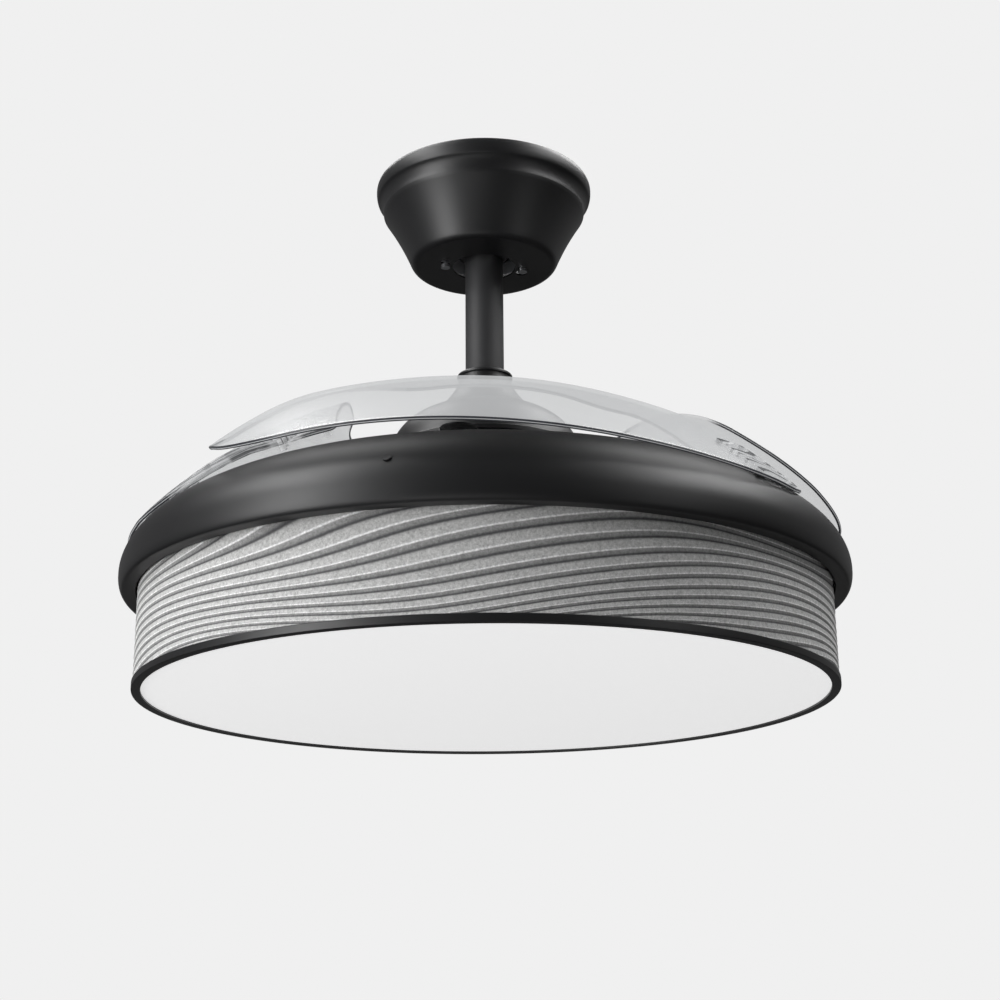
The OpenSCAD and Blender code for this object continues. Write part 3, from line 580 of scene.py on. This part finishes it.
class FAN_OT_canopy(bpy.types.Operator):
    """Spins the canopy with its rolled rim, and cuts its keyholes"""

    bl_idname = "fan.canopy"
    bl_label = "Canopy"

    def execute(self, context):
        size = context.scene.fan_sizes
        r, b = size.canopy_radius, -size.canopy_height
        step = r - 5.3 * MM
        outline = (
            [(23 * MM, b + 1.0 * MM), (23 * MM, b + 0.3 * MM), (23.3 * MM, b), (49.0 * MM, b)]
            + curve_through((49.6 * MM, b), (52.6 * MM, b + 0.2 * MM), (54.2 * MM, b + 3.4 * MM), 6)
            + curve_through((54.2 * MM, b + 3.4 * MM), (62.6 * MM, b + 23.6 * MM), (step, -22.6 * MM), 16)[1:]
            + curve_through((step + 0.1 * MM, -21.8 * MM), (step, -15.0 * MM), (r - 1.4 * MM, -11.8 * MM), 9)
            + curve_through((r - 0.9 * MM, -11.3 * MM), (r, -9.0 * MM), (r, -6.0 * MM), 5)
            + curve_through((r, -5.0 * MM), (r - 0.1 * MM, -2.0 * MM), (r - 1.9 * MM, -0.1 * MM), 6)
        )
        piece = spin_outline("canopy", with_wall(outline, size.sheet_wall), 160)
        start_clean()
        for azimuth in KEYHOLE_AZIMUTHS:
            x, y = polar(KEYHOLE_RADIUS * MM, azimuth)
            tangent = Vector((math.cos(math.radians(azimuth)), math.sin(math.radians(azimuth)), 0))
            holes = []
            for along, radius in KEYHOLE_CUTS:
                spot = Vector((x, y, b)) + tangent * along * MM
                bpy.ops.mesh.primitive_cylinder_add(vertices=32, radius=radius * MM, depth=6 * MM, location=spot)
                holes.append(bpy.context.object)
            for hole in holes:
                cut_with(piece, hole)
        settle(piece, 28)
        wear(piece, black_paint())
        place_on(piece, "ceiling", "canopy")
        return {"FINISHED"}


class FAN_OT_rod(bpy.types.Operator):
    """Spins the downrod and its collar"""

    bl_idname = "fan.rod"
    bl_label = "Downrod and collar"

    def execute(self, context):
        size = context.scene.fan_sizes
        r = size.rod_radius
        top, foot = top_of("downrod"), foot_of("downrod")
        bore, edge = r - 1.6 * MM, 0.4 * MM
        rod = spin_outline(
            "downrod",
            [(bore, foot), (r - edge, foot), (r, foot + edge), (r, top - edge), (r - edge, top), (bore, top)],
            96,
        )
        settle(rod)
        tube = solid_finish(
            "black tube paint", (0.016, 0.016, 0.0175), roughness=0.62, metallic=0.0, spread=0.06, scale=1800.0,
            depth=0.00001, tone=0.05,
        )
        wear(rod, tube)
        place_on(rod, "pendant", "downrod")
        n, top, foot = size.neck_radius, top_of("collar"), foot_of("collar")
        bore, base = r + 0.05 * MM, foot + 0.05 * MM
        waist = curve_through(
            (n - 0.3 * MM, foot + 0.4 * MM), (n - 1.3 * MM, foot + 4 * MM), (n - 0.9 * MM, top - 2.9 * MM), 6
        )
        collar = spin_outline(
            "collar",
            [(bore, base), (n - 0.3 * MM, base)]
            + waist
            + [(n - 0.4 * MM, top - 2.5 * MM), (n, top - 2.0 * MM), (n, top - 0.9 * MM), (n - 0.5 * MM, top - 0.2 * MM)]
            + [(n - 1.4 * MM, top), (bore, top)],
            96,
        )
        settle(collar)
        wear(collar, black_paint())
        place_on(collar, "pendant", "collar")
        return {"FINISHED"}


class FAN_OT_bell(bpy.types.Operator):
    """Spins the flared bell over the motor"""

    bl_idname = "fan.bell"
    bl_label = "Motor bell"

    def execute(self, context):
        size = context.scene.fan_sizes
        top, foot = top_of("motor_bell"), foot_of("motor_bell")
        n, r = size.neck_radius, size.bell_radius
        knee = (n + 18.4 * MM, top - 20.7 * MM)
        outline = (
            [(size.rod_radius + 0.3 * MM, top), (n - 0.8 * MM, top)]
            + curve_through((n, top - 0.4 * MM), (n + 9.6 * MM, top - 16.6 * MM), knee, 14)
            + curve_through(knee, (r - 6 * MM, top - 29 * MM), (r - 0.9 * MM, foot + 4 * MM), 16)[1:]
            + [(r, foot + 3.2 * MM), (r, foot + 0.3 * MM)]
        )
        piece = spin_outline("motor_bell", with_wall(outline, -size.sheet_wall), 128)
        settle(piece, 28)
        wear(piece, black_paint())
        place_on(piece, "pendant", "motor_bell")
        return {"FINISHED"}


COVER_CREST = 199 * MM  # radius of the cover's upper, open edge
COVER_RIM = 10.5 * MM  # height of its widest ring above its foot


class FAN_OT_cover(bpy.types.Operator):
    """Spins the black cover round the lamp, with its round shoulder and rolled inner edge"""

    bl_idname = "fan.cover"
    bl_label = "Lamp cover"

    def execute(self, context):
        size = context.scene.fan_sizes
        foot = foot_of("top_cover")
        wide = foot + COVER_RIM
        middle = size.body_radius - size.shoulder_width
        start = math.degrees(math.asin((COVER_CREST - middle) / size.shoulder_width))
        steps = 44
        turns = [math.radians(start + (90 - start) * i / steps) for i in range(steps + 1)]
        shoulder = [
            (middle + size.shoulder_width * math.sin(turn), wide + size.shoulder_height * math.cos(turn))
            for turn in turns
        ]
        r0, z0 = shoulder[0]
        r = size.body_radius
        outline = (
            [(r0 - 1.7 * MM, z0 - 4.8 * MM), (r0 - 1.6 * MM, z0 - 2.4 * MM), (r0 - 1.1 * MM, z0 - 0.9 * MM)]
            + shoulder
            + curve_through((r, wide - 1.5 * MM), (r - 0.1 * MM, foot + 3 * MM), (r - 2.4 * MM, foot + 0.5 * MM), 9)
            + curve_through((r - 2.9 * MM, foot + 0.2 * MM), (r - 3.6 * MM, foot), (r - 4.6 * MM, foot), 3)
            + [(size.shade_radius + 1.4 * MM, foot)]
        )
        piece = spin_outline("top_cover", with_wall(outline, -size.sheet_wall), 256)
        settle(piece, 28)
        wear(piece, black_paint())
        place_on(piece, "pendant", "top_cover")
        return {"FINISHED"}


# The ridge count at a place on the shade is a wave in azimuth that repeats three times round, with five more ridges
# at each repeat. Its height, slope and bends down the shade are four rows: an offset, then cosine and sine of one,
# two and three waves. Heights are counted from RIDGE_MIDDLE in spans of RIDGE_SPAN, both in millimetres.
RIDGE_STEP = 5
RIDGE_REPEATS = 3
RIDGE_MIDDLE, RIDGE_SPAN = -352, 30
RIDGE_WAVES = (
    (5.744, -0.689, 0.699, 0.125, -0.043, -0.008, -0.026),
    (-4.126, 1.415, -0.081, 0.063, -0.255, 0.007, 0.003),
    (0.882, 0.304, -0.317, -0.396, 0.373),
    (-0.253, -0.337, -0.062),
)
RIDGE_FIRST = 40  # added to the count on the mesh, so that it is never negative
# Where the rise from the groove, the band and its lip end, and the widths of band, lip and fall, in shares of a ridge.
RISE_END, BAND_END, LIP_END = 0.12, 0.58, 0.66
BAND_WIDTH, LIP_WIDTH, FALL_WIDTH = 0.46, 0.08, 0.34
# Relief of the groove's floor, and what the rise, the band's slope and the lip add to it.
GROOVE_FLOOR, RISE, SLOPE, LIP = 0.15, 0.55, 0.12, 0.18
BAND_START, BAND_TOP = 0.70, 0.82
FALL, FALL_POWER = 0.67, 1.3


def ridge_count(azimuth, z):
    """Number of ridges counted up to this place; whole numbers are grooves."""
    wave = math.radians(azimuth) * RIDGE_REPEATS
    depth = (z * 1000 - RIDGE_MIDDLE) / RIDGE_SPAN
    total = RIDGE_STEP * azimuth / (360 / RIDGE_REPEATS)
    for power, row in enumerate(RIDGE_WAVES):
        height = row[0]
        for i in range(1, len(row), 2):
            n = (i + 1) // 2
            height += row[i] * math.cos(n * wave) + row[i + 1] * math.sin(n * wave)
        total += height * depth**power
    return total


def ridge_profile(count):
    """Height of the relief, 0 to 1, across one ridge from groove to groove."""
    share = count % 1
    if share < RISE_END:
        return GROOVE_FLOOR + RISE * math.sin(share / RISE_END * math.pi / 2)
    if share < BAND_END:
        return BAND_START + SLOPE * (share - RISE_END) / BAND_WIDTH
    if share < LIP_END:
        return BAND_TOP + LIP * math.sin((share - BAND_END) / LIP_WIDTH * math.pi)
    return BAND_TOP - FALL * ((share - LIP_END) / FALL_WIDTH) ** FALL_POWER


class FAN_OT_shade(bpy.types.Operator):
    """Rolls the shade's drum and presses its waved ridges into it"""

    bl_idname = "fan.shade"
    bl_label = "Ridged shade"

    def execute(self, context):
        size = context.scene.fan_sizes
        top, foot = top_of("shade"), foot_of("shade")
        start_clean()
        bpy.ops.mesh.primitive_grid_add(x_subdivisions=480, y_subdivisions=size.ridge_rows, size=1)
        piece = name_piece("shade")
        mesh = piece.data
        mark = mesh.attributes.new("ridge", "FLOAT", "POINT")
        for vertex in mesh.vertices:
            azimuth = 360 * (vertex.co.x + 0.5) - 180
            z = foot + (top - foot) * (vertex.co.y + 0.5)
            count = ridge_count(azimuth, z)
            mark.data[vertex.index].value = count + RIDGE_FIRST
            x, y = polar(size.shade_radius - size.ridge_height * (1 - ridge_profile(count)), azimuth)
            vertex.co = (x, y, z)
        recalculate_normals()
        mesh.polygons.foreach_set("use_smooth", [True] * len(mesh.polygons))
        wear(piece, sandy_shade())
        place_on(piece, "pendant", "shade")
        return {"FINISHED"}


class FAN_OT_trim(bpy.types.Operator):
    """Spins the black bottom trim and the domed rim of the diffuser"""

    bl_idname = "fan.trim"
    bl_label = "Trim and diffuser"

    def execute(self, context):
        size = context.scene.fan_sizes
        foot = foot_of("bottom_trim")
        r = size.shade_radius + 0.8 * MM
        inner = r - size.trim_width
        shelf = r - 3.0 * MM
        edge = 0.5 * MM
        trim = spin_outline(
            "bottom_trim",
            [(inner, foot + 1.5 * MM), (inner, foot + 0.2 * MM), (inner + 0.2 * MM, foot), (r - edge, foot)]
            + curve_through((r - edge, foot), (r, foot), (r, foot + edge), 3)[1:]
            + [(r, foot + 4.4 * MM), (r - 0.4 * MM, foot + 4.8 * MM), (shelf, foot + 4.8 * MM)]
            + [(shelf, foot + 14.8 * MM), (shelf - 1.8 * MM, foot + 14.8 * MM), (shelf - 1.8 * MM, foot + 1.5 * MM)],
            256,
        )
        settle(trim, 28)
        wear(trim, black_paint())
        place_on(trim, "pendant", "bottom_trim")
        base = foot_of("diffuser")
        rim = reach_of("diffuser")
        plate = spin_outline(
            "diffuser",
            [(0.0, base), (rim - 0.8 * MM, base), (rim, base + 0.8 * MM), (rim, base + 2.2 * MM)]
            + [(rim - 0.3 * MM, base + 2.5 * MM), (0.0, base + 2.5 * MM)],
            256,
            closed=False,
        )
        settle(plate, 28)
        wear(plate, opal_diffuser())
        place_on(plate, "pendant", "diffuser")
        return {"FINISHED"}


# The blade, in millimetres, along an azimuth of its own in degrees that falls from its root to its tip.
# Radius of the body and of the shell's crown, and how far and with what power the shell droops between them.
BODY, CROWN, DROOP, DROOP_POWER = 250.0, 110.0, 81.0, 1.43
# Height of the crown, and how much it falls for each degree.
CROWN_Z, CROWN_TILT = -193.3, 0.043
# The outer edge: how much it is raised, the height of its wave and the azimuth of the wave's crest.
EDGE_RISE, EDGE_WAVE, EDGE_CREST = 3.9, 12.2, -16
# The bow between crown and edge, a parabola in spans of azimuth, and the limits that it is bent between.
BOW, BOW_LIMITS, BOW_SPAN = (-5.2, 2.65, 11.4), (-46, 55), 50
# What the bow loses over the foot: an even slope past its limit, and a smooth dip.
ROOT_SINK, ROOT_SINK_SPAN = 3.2, 40
ROOT_DIP, ROOT_DIP_START, ROOT_DIP_SPAN = 4, 56, 28
# How far the edges draw in: a depth, the azimuth where it starts, a span and a power. The outer edge by the root
# draws in by two steps, and the inner edge stays clear of it by the inset.
TIP_OUTER, TIP_INNER, ROOT_INNER = (44, -28, 30, 1.7), (90, -20, 41, 2.2), (105, 40, 55, 2.6)
ROOT_OUTER = ((7, 22, 26), (36, 52, 22))
ROOT_OUTER_POWER = 1.3
EDGE_INSET = 14
# Azimuths of the root and the tip, and how far their corners are rounded off, with the power.
ROOT_END, TIP_END = (93.5, 8, 4), (-61, 4, 3)
# Past this azimuth the blade is clear over its foot.
CLEAR_START = 81
# Where the outer edge by the root and the inner edge by the tip hardly show: start, rise, end and fall, in degrees.
FAINT_ROOT, FAINT_TIP = (60, 4, 88, 1.5), (-59, 2, -30, 12)


def within(t):
    return max(0, min(t, 1))


def smooth(t):
    return t * t * (3 - 2 * t)


def between(a, start, rise, end, fall):
    """1 from start to end, reached over the rise and left over the fall."""
    return max(0, min((a - start) / rise, 1, (end - a) / fall))


def shell_height(r, a):
    """The shell droops from its crown to its outer edge, waves along that edge, and bows in between."""
    share = max((r - CROWN) / (BODY - CROWN), 0)
    w = min(share, 1)
    c = max(BOW_LIMITS[0], min(a, BOW_LIMITS[1])) / BOW_SPAN
    bow = BOW[0] - BOW[1] * c + BOW[2] * c * c - ROOT_SINK * max(a - BOW_LIMITS[1], 0) / ROOT_SINK_SPAN
    bow -= ROOT_DIP * smooth(within((a - ROOT_DIP_START) / ROOT_DIP_SPAN))
    edge = EDGE_RISE - EDGE_WAVE * (1 - math.cos(math.radians(2 * (a - EDGE_CREST))))
    return CROWN_Z - DROOP * share**DROOP_POWER - (1 - w) * a * CROWN_TILT + w * edge + 4 * w * (1 - w) * bow


def drawn_in(away, depth, span, power):
    return depth * (max(away, 0) / span) ** power


def outer_edge(a):
    depth, start, span, power = TIP_OUTER
    radius = BODY - drawn_in(start - a, depth, span, power)
    for depth, start, span in ROOT_OUTER:
        radius -= depth * within((a - start) / span) ** ROOT_OUTER_POWER
    return radius


def inner_edge(a):
    depth, start, span, power = ROOT_INNER
    bulge = drawn_in(a - start, depth, span, power)
    depth, start, span, power = TIP_INNER
    bulge += drawn_in(start - a, depth, span, power)
    return min(outer_edge(a) - EDGE_INSET, CROWN - EDGE_INSET + bulge)


def blade_place(s, t):
    """Radius and azimuth of a place on the blade, s from root to tip and t from inner to outer edge."""
    e = abs(2 * t - 1)
    root = ROOT_END[0] - ROOT_END[1] * e ** ROOT_END[2]
    tip = TIP_END[0] + TIP_END[1] * e ** TIP_END[2]
    a = root * (1 - s) + tip * s
    return inner_edge(a) * (1 - t) + outer_edge(a) * t, a


def shell_point(r, a, lift=0.0):
    x, y = polar(r, a)
    return Vector((x, y, shell_height(r, a) + lift)) * MM


def three_of(piece, kind):
    """The first blade's piece and its copies for the others, each with its own mesh, turned by thirds."""
    pieces = [piece]
    for k in (1, 2):
        copy = piece.copy()
        copy.data = piece.data.copy()
        copy.name = copy.data.name = f"blade_{k + 1}_{kind}"
        bpy.context.scene.collection.objects.link(copy)
        copy.rotation_euler = (0, 0, -k * TURN / 3)
        pick_only(copy)
        bpy.ops.object.transform_apply(location=True, rotation=True, scale=True)
        pieces.append(copy)
    return pieces


class FAN_OT_blades(bpy.types.Operator):
    """Shapes a blade from a sheet, rounds its edge, and sets three of them round the motor"""

    bl_idname = "fan.blades"
    bl_label = "Blades"

    def execute(self, context):
        size = context.scene.fan_sizes
        start_clean()
        bpy.ops.mesh.primitive_grid_add(x_subdivisions=160, y_subdivisions=40, size=1)
        blade = name_piece("blade_1_shell")
        for label in ("clear", "faint"):
            blade.data.attributes.new(label, "FLOAT", "POINT")
        clear, faint = (blade.data.attributes[label] for label in ("clear", "faint"))
        for vertex in blade.data.vertices:
            t = within(vertex.co.y + 0.5)
            r, a = blade_place(within(0.5 - vertex.co.x), t)
            clear.data[vertex.index].value = smooth(within(a - CLEAR_START))
            faint.data[vertex.index].value = between(a, *(FAINT_ROOT if t > 0.5 else FAINT_TIP))
            vertex.co = shell_point(r, a)
        face_up(blade)
        for material in (
            milky_plastic(),
            # The rounded faces in painted shade and the end faces with a painted highlight, for the light that the
            # sheet bends at its edge.
            blade_edge_plastic("dark blade edge", (0.016, 0.017, 0.02), (0.035, 0.036, 0.04), 1.0),
            blade_edge_plastic("light blade edge", (0.20, 0.205, 0.21), (0.34, 0.345, 0.35), 0.85),
        ):
            blade.data.materials.append(material)
        wall = blade.modifiers.new("wall", "SOLIDIFY")
        wall.thickness = size.blade_thickness
        wall.offset = -1
        wall.use_even_offset = True
        wall.material_offset_rim = 2
        round_edge = blade.modifiers.new("edge", "BEVEL")
        round_edge.width = 0.95 * MM
        round_edge.segments = 3
        round_edge.use_clamp_overlap = False
        round_edge.limit_method = "ANGLE"
        round_edge.angle_limit = math.radians(50)
        round_edge.material = 1
        finish_modifiers(blade)
        settle(blade, 40)
        for k, piece in enumerate(three_of(blade, "shell"), 1):
            place_on(piece, f"blade_{k}", f"blade_{k}")
        return {"FINISHED"}


# The ribbed field: the azimuth where it starts and how far it runs, in degrees; its inner edge, how far that moves
# outwards and its distance from the blade's outer edge; its seat over the shell, the ribs' height, and the wall
# that it has beyond the blade's, in millimetres.
RIBS_START, RIBS_RUN = 82, 37
RIBS_INNER, RIBS_DRIFT, RIBS_MARGIN = 186, 20, 3.0
RIBS_SEAT, RIBS_HEIGHT, RIBS_WALL = 0.5, 0.55, 1.6


class FAN_OT_ribs(bpy.types.Operator):
    """Adds the clear ribbed field that stiffens each blade behind its root"""

    bl_idname = "fan.ribs"
    bl_label = "Blade ribs"

    def execute(self, context):
        start_clean()
        bpy.ops.mesh.primitive_grid_add(x_subdivisions=260, y_subdivisions=40, size=1)
        ribs = name_piece("blade_1_ribs")
        mark = ribs.data.attributes.new("fold", "FLOAT", "POINT")
        for vertex in ribs.data.vertices:
            u, v = vertex.co.x + 0.5, vertex.co.y + 0.5
            a = RIBS_START - RIBS_RUN * u
            inner = RIBS_INNER + RIBS_DRIFT * max(u, 0) ** 0.7
            outer = outer_edge(a) - RIBS_MARGIN
            r = inner + (outer - inner) * v
            sway = 0.9 * math.sin(7.3 * v + 2.1 * u) + 0.6 * math.sin(17 * u + 5 * v)
            fold = math.sin(v * 27 + 4 * u + sway * 1.8) * 0.6 + 0.4 * math.sin(v * 49 - u * 11 + sway * 2.4)
            fade = min(1, 9 * u, 9 * (1 - u) + 0.15, 12 * v, 12 * (1 - v))
            mark.data[vertex.index].value = 0.5 + fold * 0.6
            vertex.co = shell_point(r, a, RIBS_SEAT + fade * (RIBS_HEIGHT + RIBS_HEIGHT * fold))
        face_up(ribs)
        wall = ribs.modifiers.new("wall", "SOLIDIFY")
        wall.thickness = context.scene.fan_sizes.blade_thickness + RIBS_WALL * MM
        wall.offset = -1
        finish_modifiers(ribs)
        settle(ribs, 60)
        wear(ribs, ribbed_plastic())
        for k, piece in enumerate(three_of(ribs, "ribs"), 1):
            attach(piece, f"blade_{k}")
        return {"FINISHED"}


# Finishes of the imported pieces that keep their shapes: name, colour, roughness, metallic, how much the roughness
# varies, the grain's scale and depth, how much the tone varies, and the nodes that wear it.
INNER_FINISHES = (
    ("zinc plated steel", (0.52, 0.53, 0.55), 0.34, 1.0, 0.16, 900.0, 0.00002, 0.10,
     ("hanger_bracket", "canopy_screws", "shaft_coupler", "coupler_bolts", "rotor_screws", "tray_screws",
      "shaft_nuts", "shade_brackets", "board_standoffs")),
    ("ground steel", (0.60, 0.61, 0.62), 0.22, 1.0, 0.10, 1800.0, 0.00001, 0.05,
     ("ball_pin", "motor_shaft", "upper_bearing", "lower_bearing")),
    ("die-cast aluminium", (0.46, 0.47, 0.48), 0.52, 1.0, 0.14, 700.0, 0.00008, 0.10, ("rotor_cover", "rotor_pot")),
    ("white moulded case", (0.78, 0.78, 0.77), 0.5, 0.0, 0.08, 1500.0, 0.00003, 0.03, ("led_driver", "receiver_box")),
    ("moulded ball", (0.022, 0.022, 0.024), 0.45, 0.0, 0.1, 1500.0, 0.00002, 0.1, ("hanger_ball",)),
    ("laminated steel", (0.20, 0.21, 0.22), 0.4, 1.0, 0.2, 2600.0, 0.00006, 0.12, ("stator_core",)),
    ("enamelled copper", (0.46, 0.15, 0.05), 0.3, 1.0, 0.15, 800.0, 0.0002, 0.2, ("stator_windings",)),
    ("dull magnets", (0.045, 0.047, 0.052), 0.6, 0.3, 0.1, 600.0, 0.00005, 0.15, ("rotor_magnets",)),
    ("cut aluminium", (0.55, 0.56, 0.57), 0.38, 1.0, 0.12, 1200.0, 0.00003, 0.06, ("sync_ring",)),
    ("white painted pan", (0.72, 0.73, 0.74), 0.42, 0.0, 0.06, 2000.0, 0.00002, 0.03, ("lamp_pan",)),
    ("white lamp board", (0.80, 0.82, 0.80), 0.35, 0.0, 0.06, 1200.0, 0.00002, 0.03, ("led_board",)),
    ("lamp chips", (0.82, 0.66, 0.16), 0.25, 0.0, 0.08, 1500.0, 0.00003, 0.08, ("led_chips",)),
    ("blackened steel", (0.02, 0.02, 0.022), 0.45, 0.6, 0.1, 1800.0, 0.00001, 0.05,
     ("pivot_posts", "post_clips", "return_springs", "ring_guides")),
)


class FAN_OT_works(bpy.types.Operator):
    """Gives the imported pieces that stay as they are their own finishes"""

    bl_idname = "fan.works"
    bl_label = "Inner works"

    def execute(self, context):
        finishes = {"blade_tray": black_paint(), "cover_screws": black_paint()}
        for *look, nodes in INNER_FINISHES:
            finishes.update(dict.fromkeys(nodes, solid_finish(*look)))
        for k in range(1, 4):
            finishes[f"blade_foot_{k}"] = foot_plastic()
            finishes[f"blade_screws_{k}"] = pale_screws()
        for name, material in finishes.items():
            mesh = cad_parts[name].data
            if not mesh.materials:
                mesh.materials.append(material)
            for i in range(len(mesh.materials)):
                mesh.materials[i] = material
        return {"FINISHED"}


# ---------------------------------------------------------------------------------------------
# Stage
# ---------------------------------------------------------------------------------------------


# Sizes and places in metres, powers in watts.
FLOOR_SIZE, FLOOR_Z = 14, -2.3
FLOOR_GLOW = 0.93  # share of the backdrop's tone that the camera sees on the floor, whatever light falls there
ROOM_DIM, ROOM_PALE = 0.05, 0.20  # the room's light on the camera's side, and behind the fan
AIM = (0, 0, -0.28)  # what the softboxes look at, the fan's middle
# Softboxes: name, place, width, height and power.
SOFTBOXES = (
    ("left softbox", (-1.55, -1.15, -0.35), 0.75, 1.9, 34),
    ("right softbox", (1.5, -1.2, -0.30), 0.65, 1.8, 3.5),
    ("left high softbox", (-0.86, -0.27, 0.80), 0.60, 0.8, 9),
    ("right high softbox", (0.98, -0.12, 0.80), 0.75, 0.8, 11),
    ("left top softbox", (-0.42, 0.42, 0.80), 0.36, 0.6, 4.5),
    ("right top softbox", (0.62, 0.42, 0.80), 0.42, 0.6, 7),
    ("left middle softbox", (-1.10, -0.70, 0.62), 0.6, 0.45, 5),
    ("right middle softbox", (1.12, -0.66, 0.62), 0.55, 0.45, 3),
    ("front card", (-0.5, -1.9, -1.75), 1.2, 0.8, 4),
)
# The camera as it was fitted to the photograph: millimetres, metres and degrees.
LENS, SENSOR = 61.2, 36
CAMERA_PLACE, CAMERA_TILT, CAMERA_ROLL = (0.0102, -1.1475, -0.600), 17.25, -0.5


def studio_world(backdrop):
    """A pale wall for the camera, and for the light a dim room that is paler behind the fan and dark overhead."""
    world = bpy.data.worlds.new("studio")
    bpy.context.scene.world = world
    world.use_nodes = True
    n = Nodes(world.node_tree)
    sky = world.node_tree.nodes["Background"]
    split = n.add("ShaderNodeSeparateXYZ")
    n.join(n.add("ShaderNodeTexCoord").outputs["Generated"], split.inputs[0])
    behind = n.map_range(split.outputs["Y"], (-0.35, 0.55), (ROOM_DIM, ROOM_PALE), "SMOOTHSTEP")
    overhead = n.map_range(split.outputs["Z"], (0.2, 0.65), (1.0, 0.03), "SMOOTHSTEP")
    rays = n.add("ShaderNodeLightPath").outputs
    seen = n.maths("MAXIMUM", rays["Is Camera Ray"], rays["Is Transmission Ray"])
    room = n.mix(n.maths("MULTIPLY", behind, overhead), (0, 0, 0), (1, 1, 1))
    n.join(n.mix(seen, room, tuple(backdrop)), sky.inputs["Color"])
    sky.inputs["Strength"].default_value = 1.0


def softbox(name, place, width, height, power):
    light = bpy.data.lights.new(name, "AREA")
    light.shape = "RECTANGLE"
    light.size, light.size_y = width, height
    light.energy = power
    lamp = bpy.data.objects.new(name, light)
    bpy.context.scene.collection.objects.link(lamp)
    lamp.location = place
    lamp.rotation_euler = (Vector(AIM) - Vector(place)).to_track_quat("-Z", "Y").to_euler()
    lamp.visible_camera = False


class FAN_OT_stage(bpy.types.Operator):
    """Sets the floor, the studio light and the camera"""

    bl_idname = "fan.stage"
    bl_label = "Stage, light and camera"

    def execute(self, context):
        look = context.scene.fan_colours
        start_clean()
        bpy.ops.mesh.primitive_plane_add(size=FLOOR_SIZE, location=(0, 0, FLOOR_Z))
        floor = name_piece("studio_floor")
        material, n, shader = new_finish("pale floor")
        if n:
            add_grain(n, shader, scale=30.0, roughness=0.9, spread=0.04, depth=0.0002)
            cloud = n.noise(n.place(), scale=0.8, detail=2.0, roughness=0.5)
            n.join(n.mix(cloud, (0.30, 0.30, 0.30), (0.32, 0.32, 0.32)), shader.inputs["Base Color"])
            base = tuple(look.backdrop)
            n.join(n.mix(cloud, toned(base, 0.99), base), shader.inputs["Emission Color"])
            seen = n.add("ShaderNodeLightPath").outputs["Is Camera Ray"]
            n.join(n.maths("MULTIPLY", seen, FLOOR_GLOW), shader.inputs["Emission Strength"])
        floor.data.materials.append(material)
        studio_world(look.backdrop)
        for light in SOFTBOXES:
            softbox(*light)
        camera = bpy.data.objects.new("camera", bpy.data.cameras.new("camera"))
        context.scene.collection.objects.link(camera)
        camera.data.lens = LENS
        camera.data.sensor_width = SENSOR
        camera.data.clip_start = 0.05
        camera.location = CAMERA_PLACE
        camera.rotation_euler = (math.radians(90 + CAMERA_TILT), 0, 0)
        camera.rotation_euler.rotate_axis("Z", math.radians(CAMERA_ROLL))
        context.scene.camera = camera
        context.scene.view_settings.view_transform = "Standard"
        return {"FINISHED"}


class FAN_PT_panel(bpy.types.Panel):
    """Lists the fan's pieces, sizes and colours"""

    bl_idname = "FAN_PT_panel"
    bl_label = "Folding-blade fan"
    bl_space_type = "VIEW_3D"
    bl_region_type = "UI"
    bl_category = "Fan"

    def draw(self, context):
        for operator in OPERATORS:
            self.layout.operator(operator.bl_idname)
        for group in (context.scene.fan_sizes, context.scene.fan_colours):
            column = self.layout.column(align=True)
            for key in group.__annotations__:
                column.prop(group, key)


OPERATORS = (
    FAN_OT_stage,
    FAN_OT_canopy,
    FAN_OT_rod,
    FAN_OT_bell,
    FAN_OT_cover,
    FAN_OT_shade,
    FAN_OT_trim,
    FAN_OT_blades,
    FAN_OT_ribs,
    FAN_OT_works,
)
CLASSES = (FanSizes, FanColours, *OPERATORS, FAN_PT_panel)


def register():
    for item in CLASSES:
        bpy.utils.register_class(item)
    bpy.types.Scene.fan_sizes = PointerProperty(type=FanSizes)
    bpy.types.Scene.fan_colours = PointerProperty(type=FanColours)


def unregister():
    del bpy.types.Scene.fan_colours
    del bpy.types.Scene.fan_sizes
    for item in reversed(CLASSES):
        bpy.utils.unregister_class(item)


def main():
    register()
    bpy.ops.fan.stage()
    bpy.ops.fan.canopy()
    bpy.ops.fan.rod()
    bpy.ops.fan.bell()
    bpy.ops.fan.cover()
    bpy.ops.fan.shade()
    bpy.ops.fan.trim()
    bpy.ops.fan.blades()
    bpy.ops.fan.ribs()
    bpy.ops.fan.works()


if __name__ == "__main__":
    main()
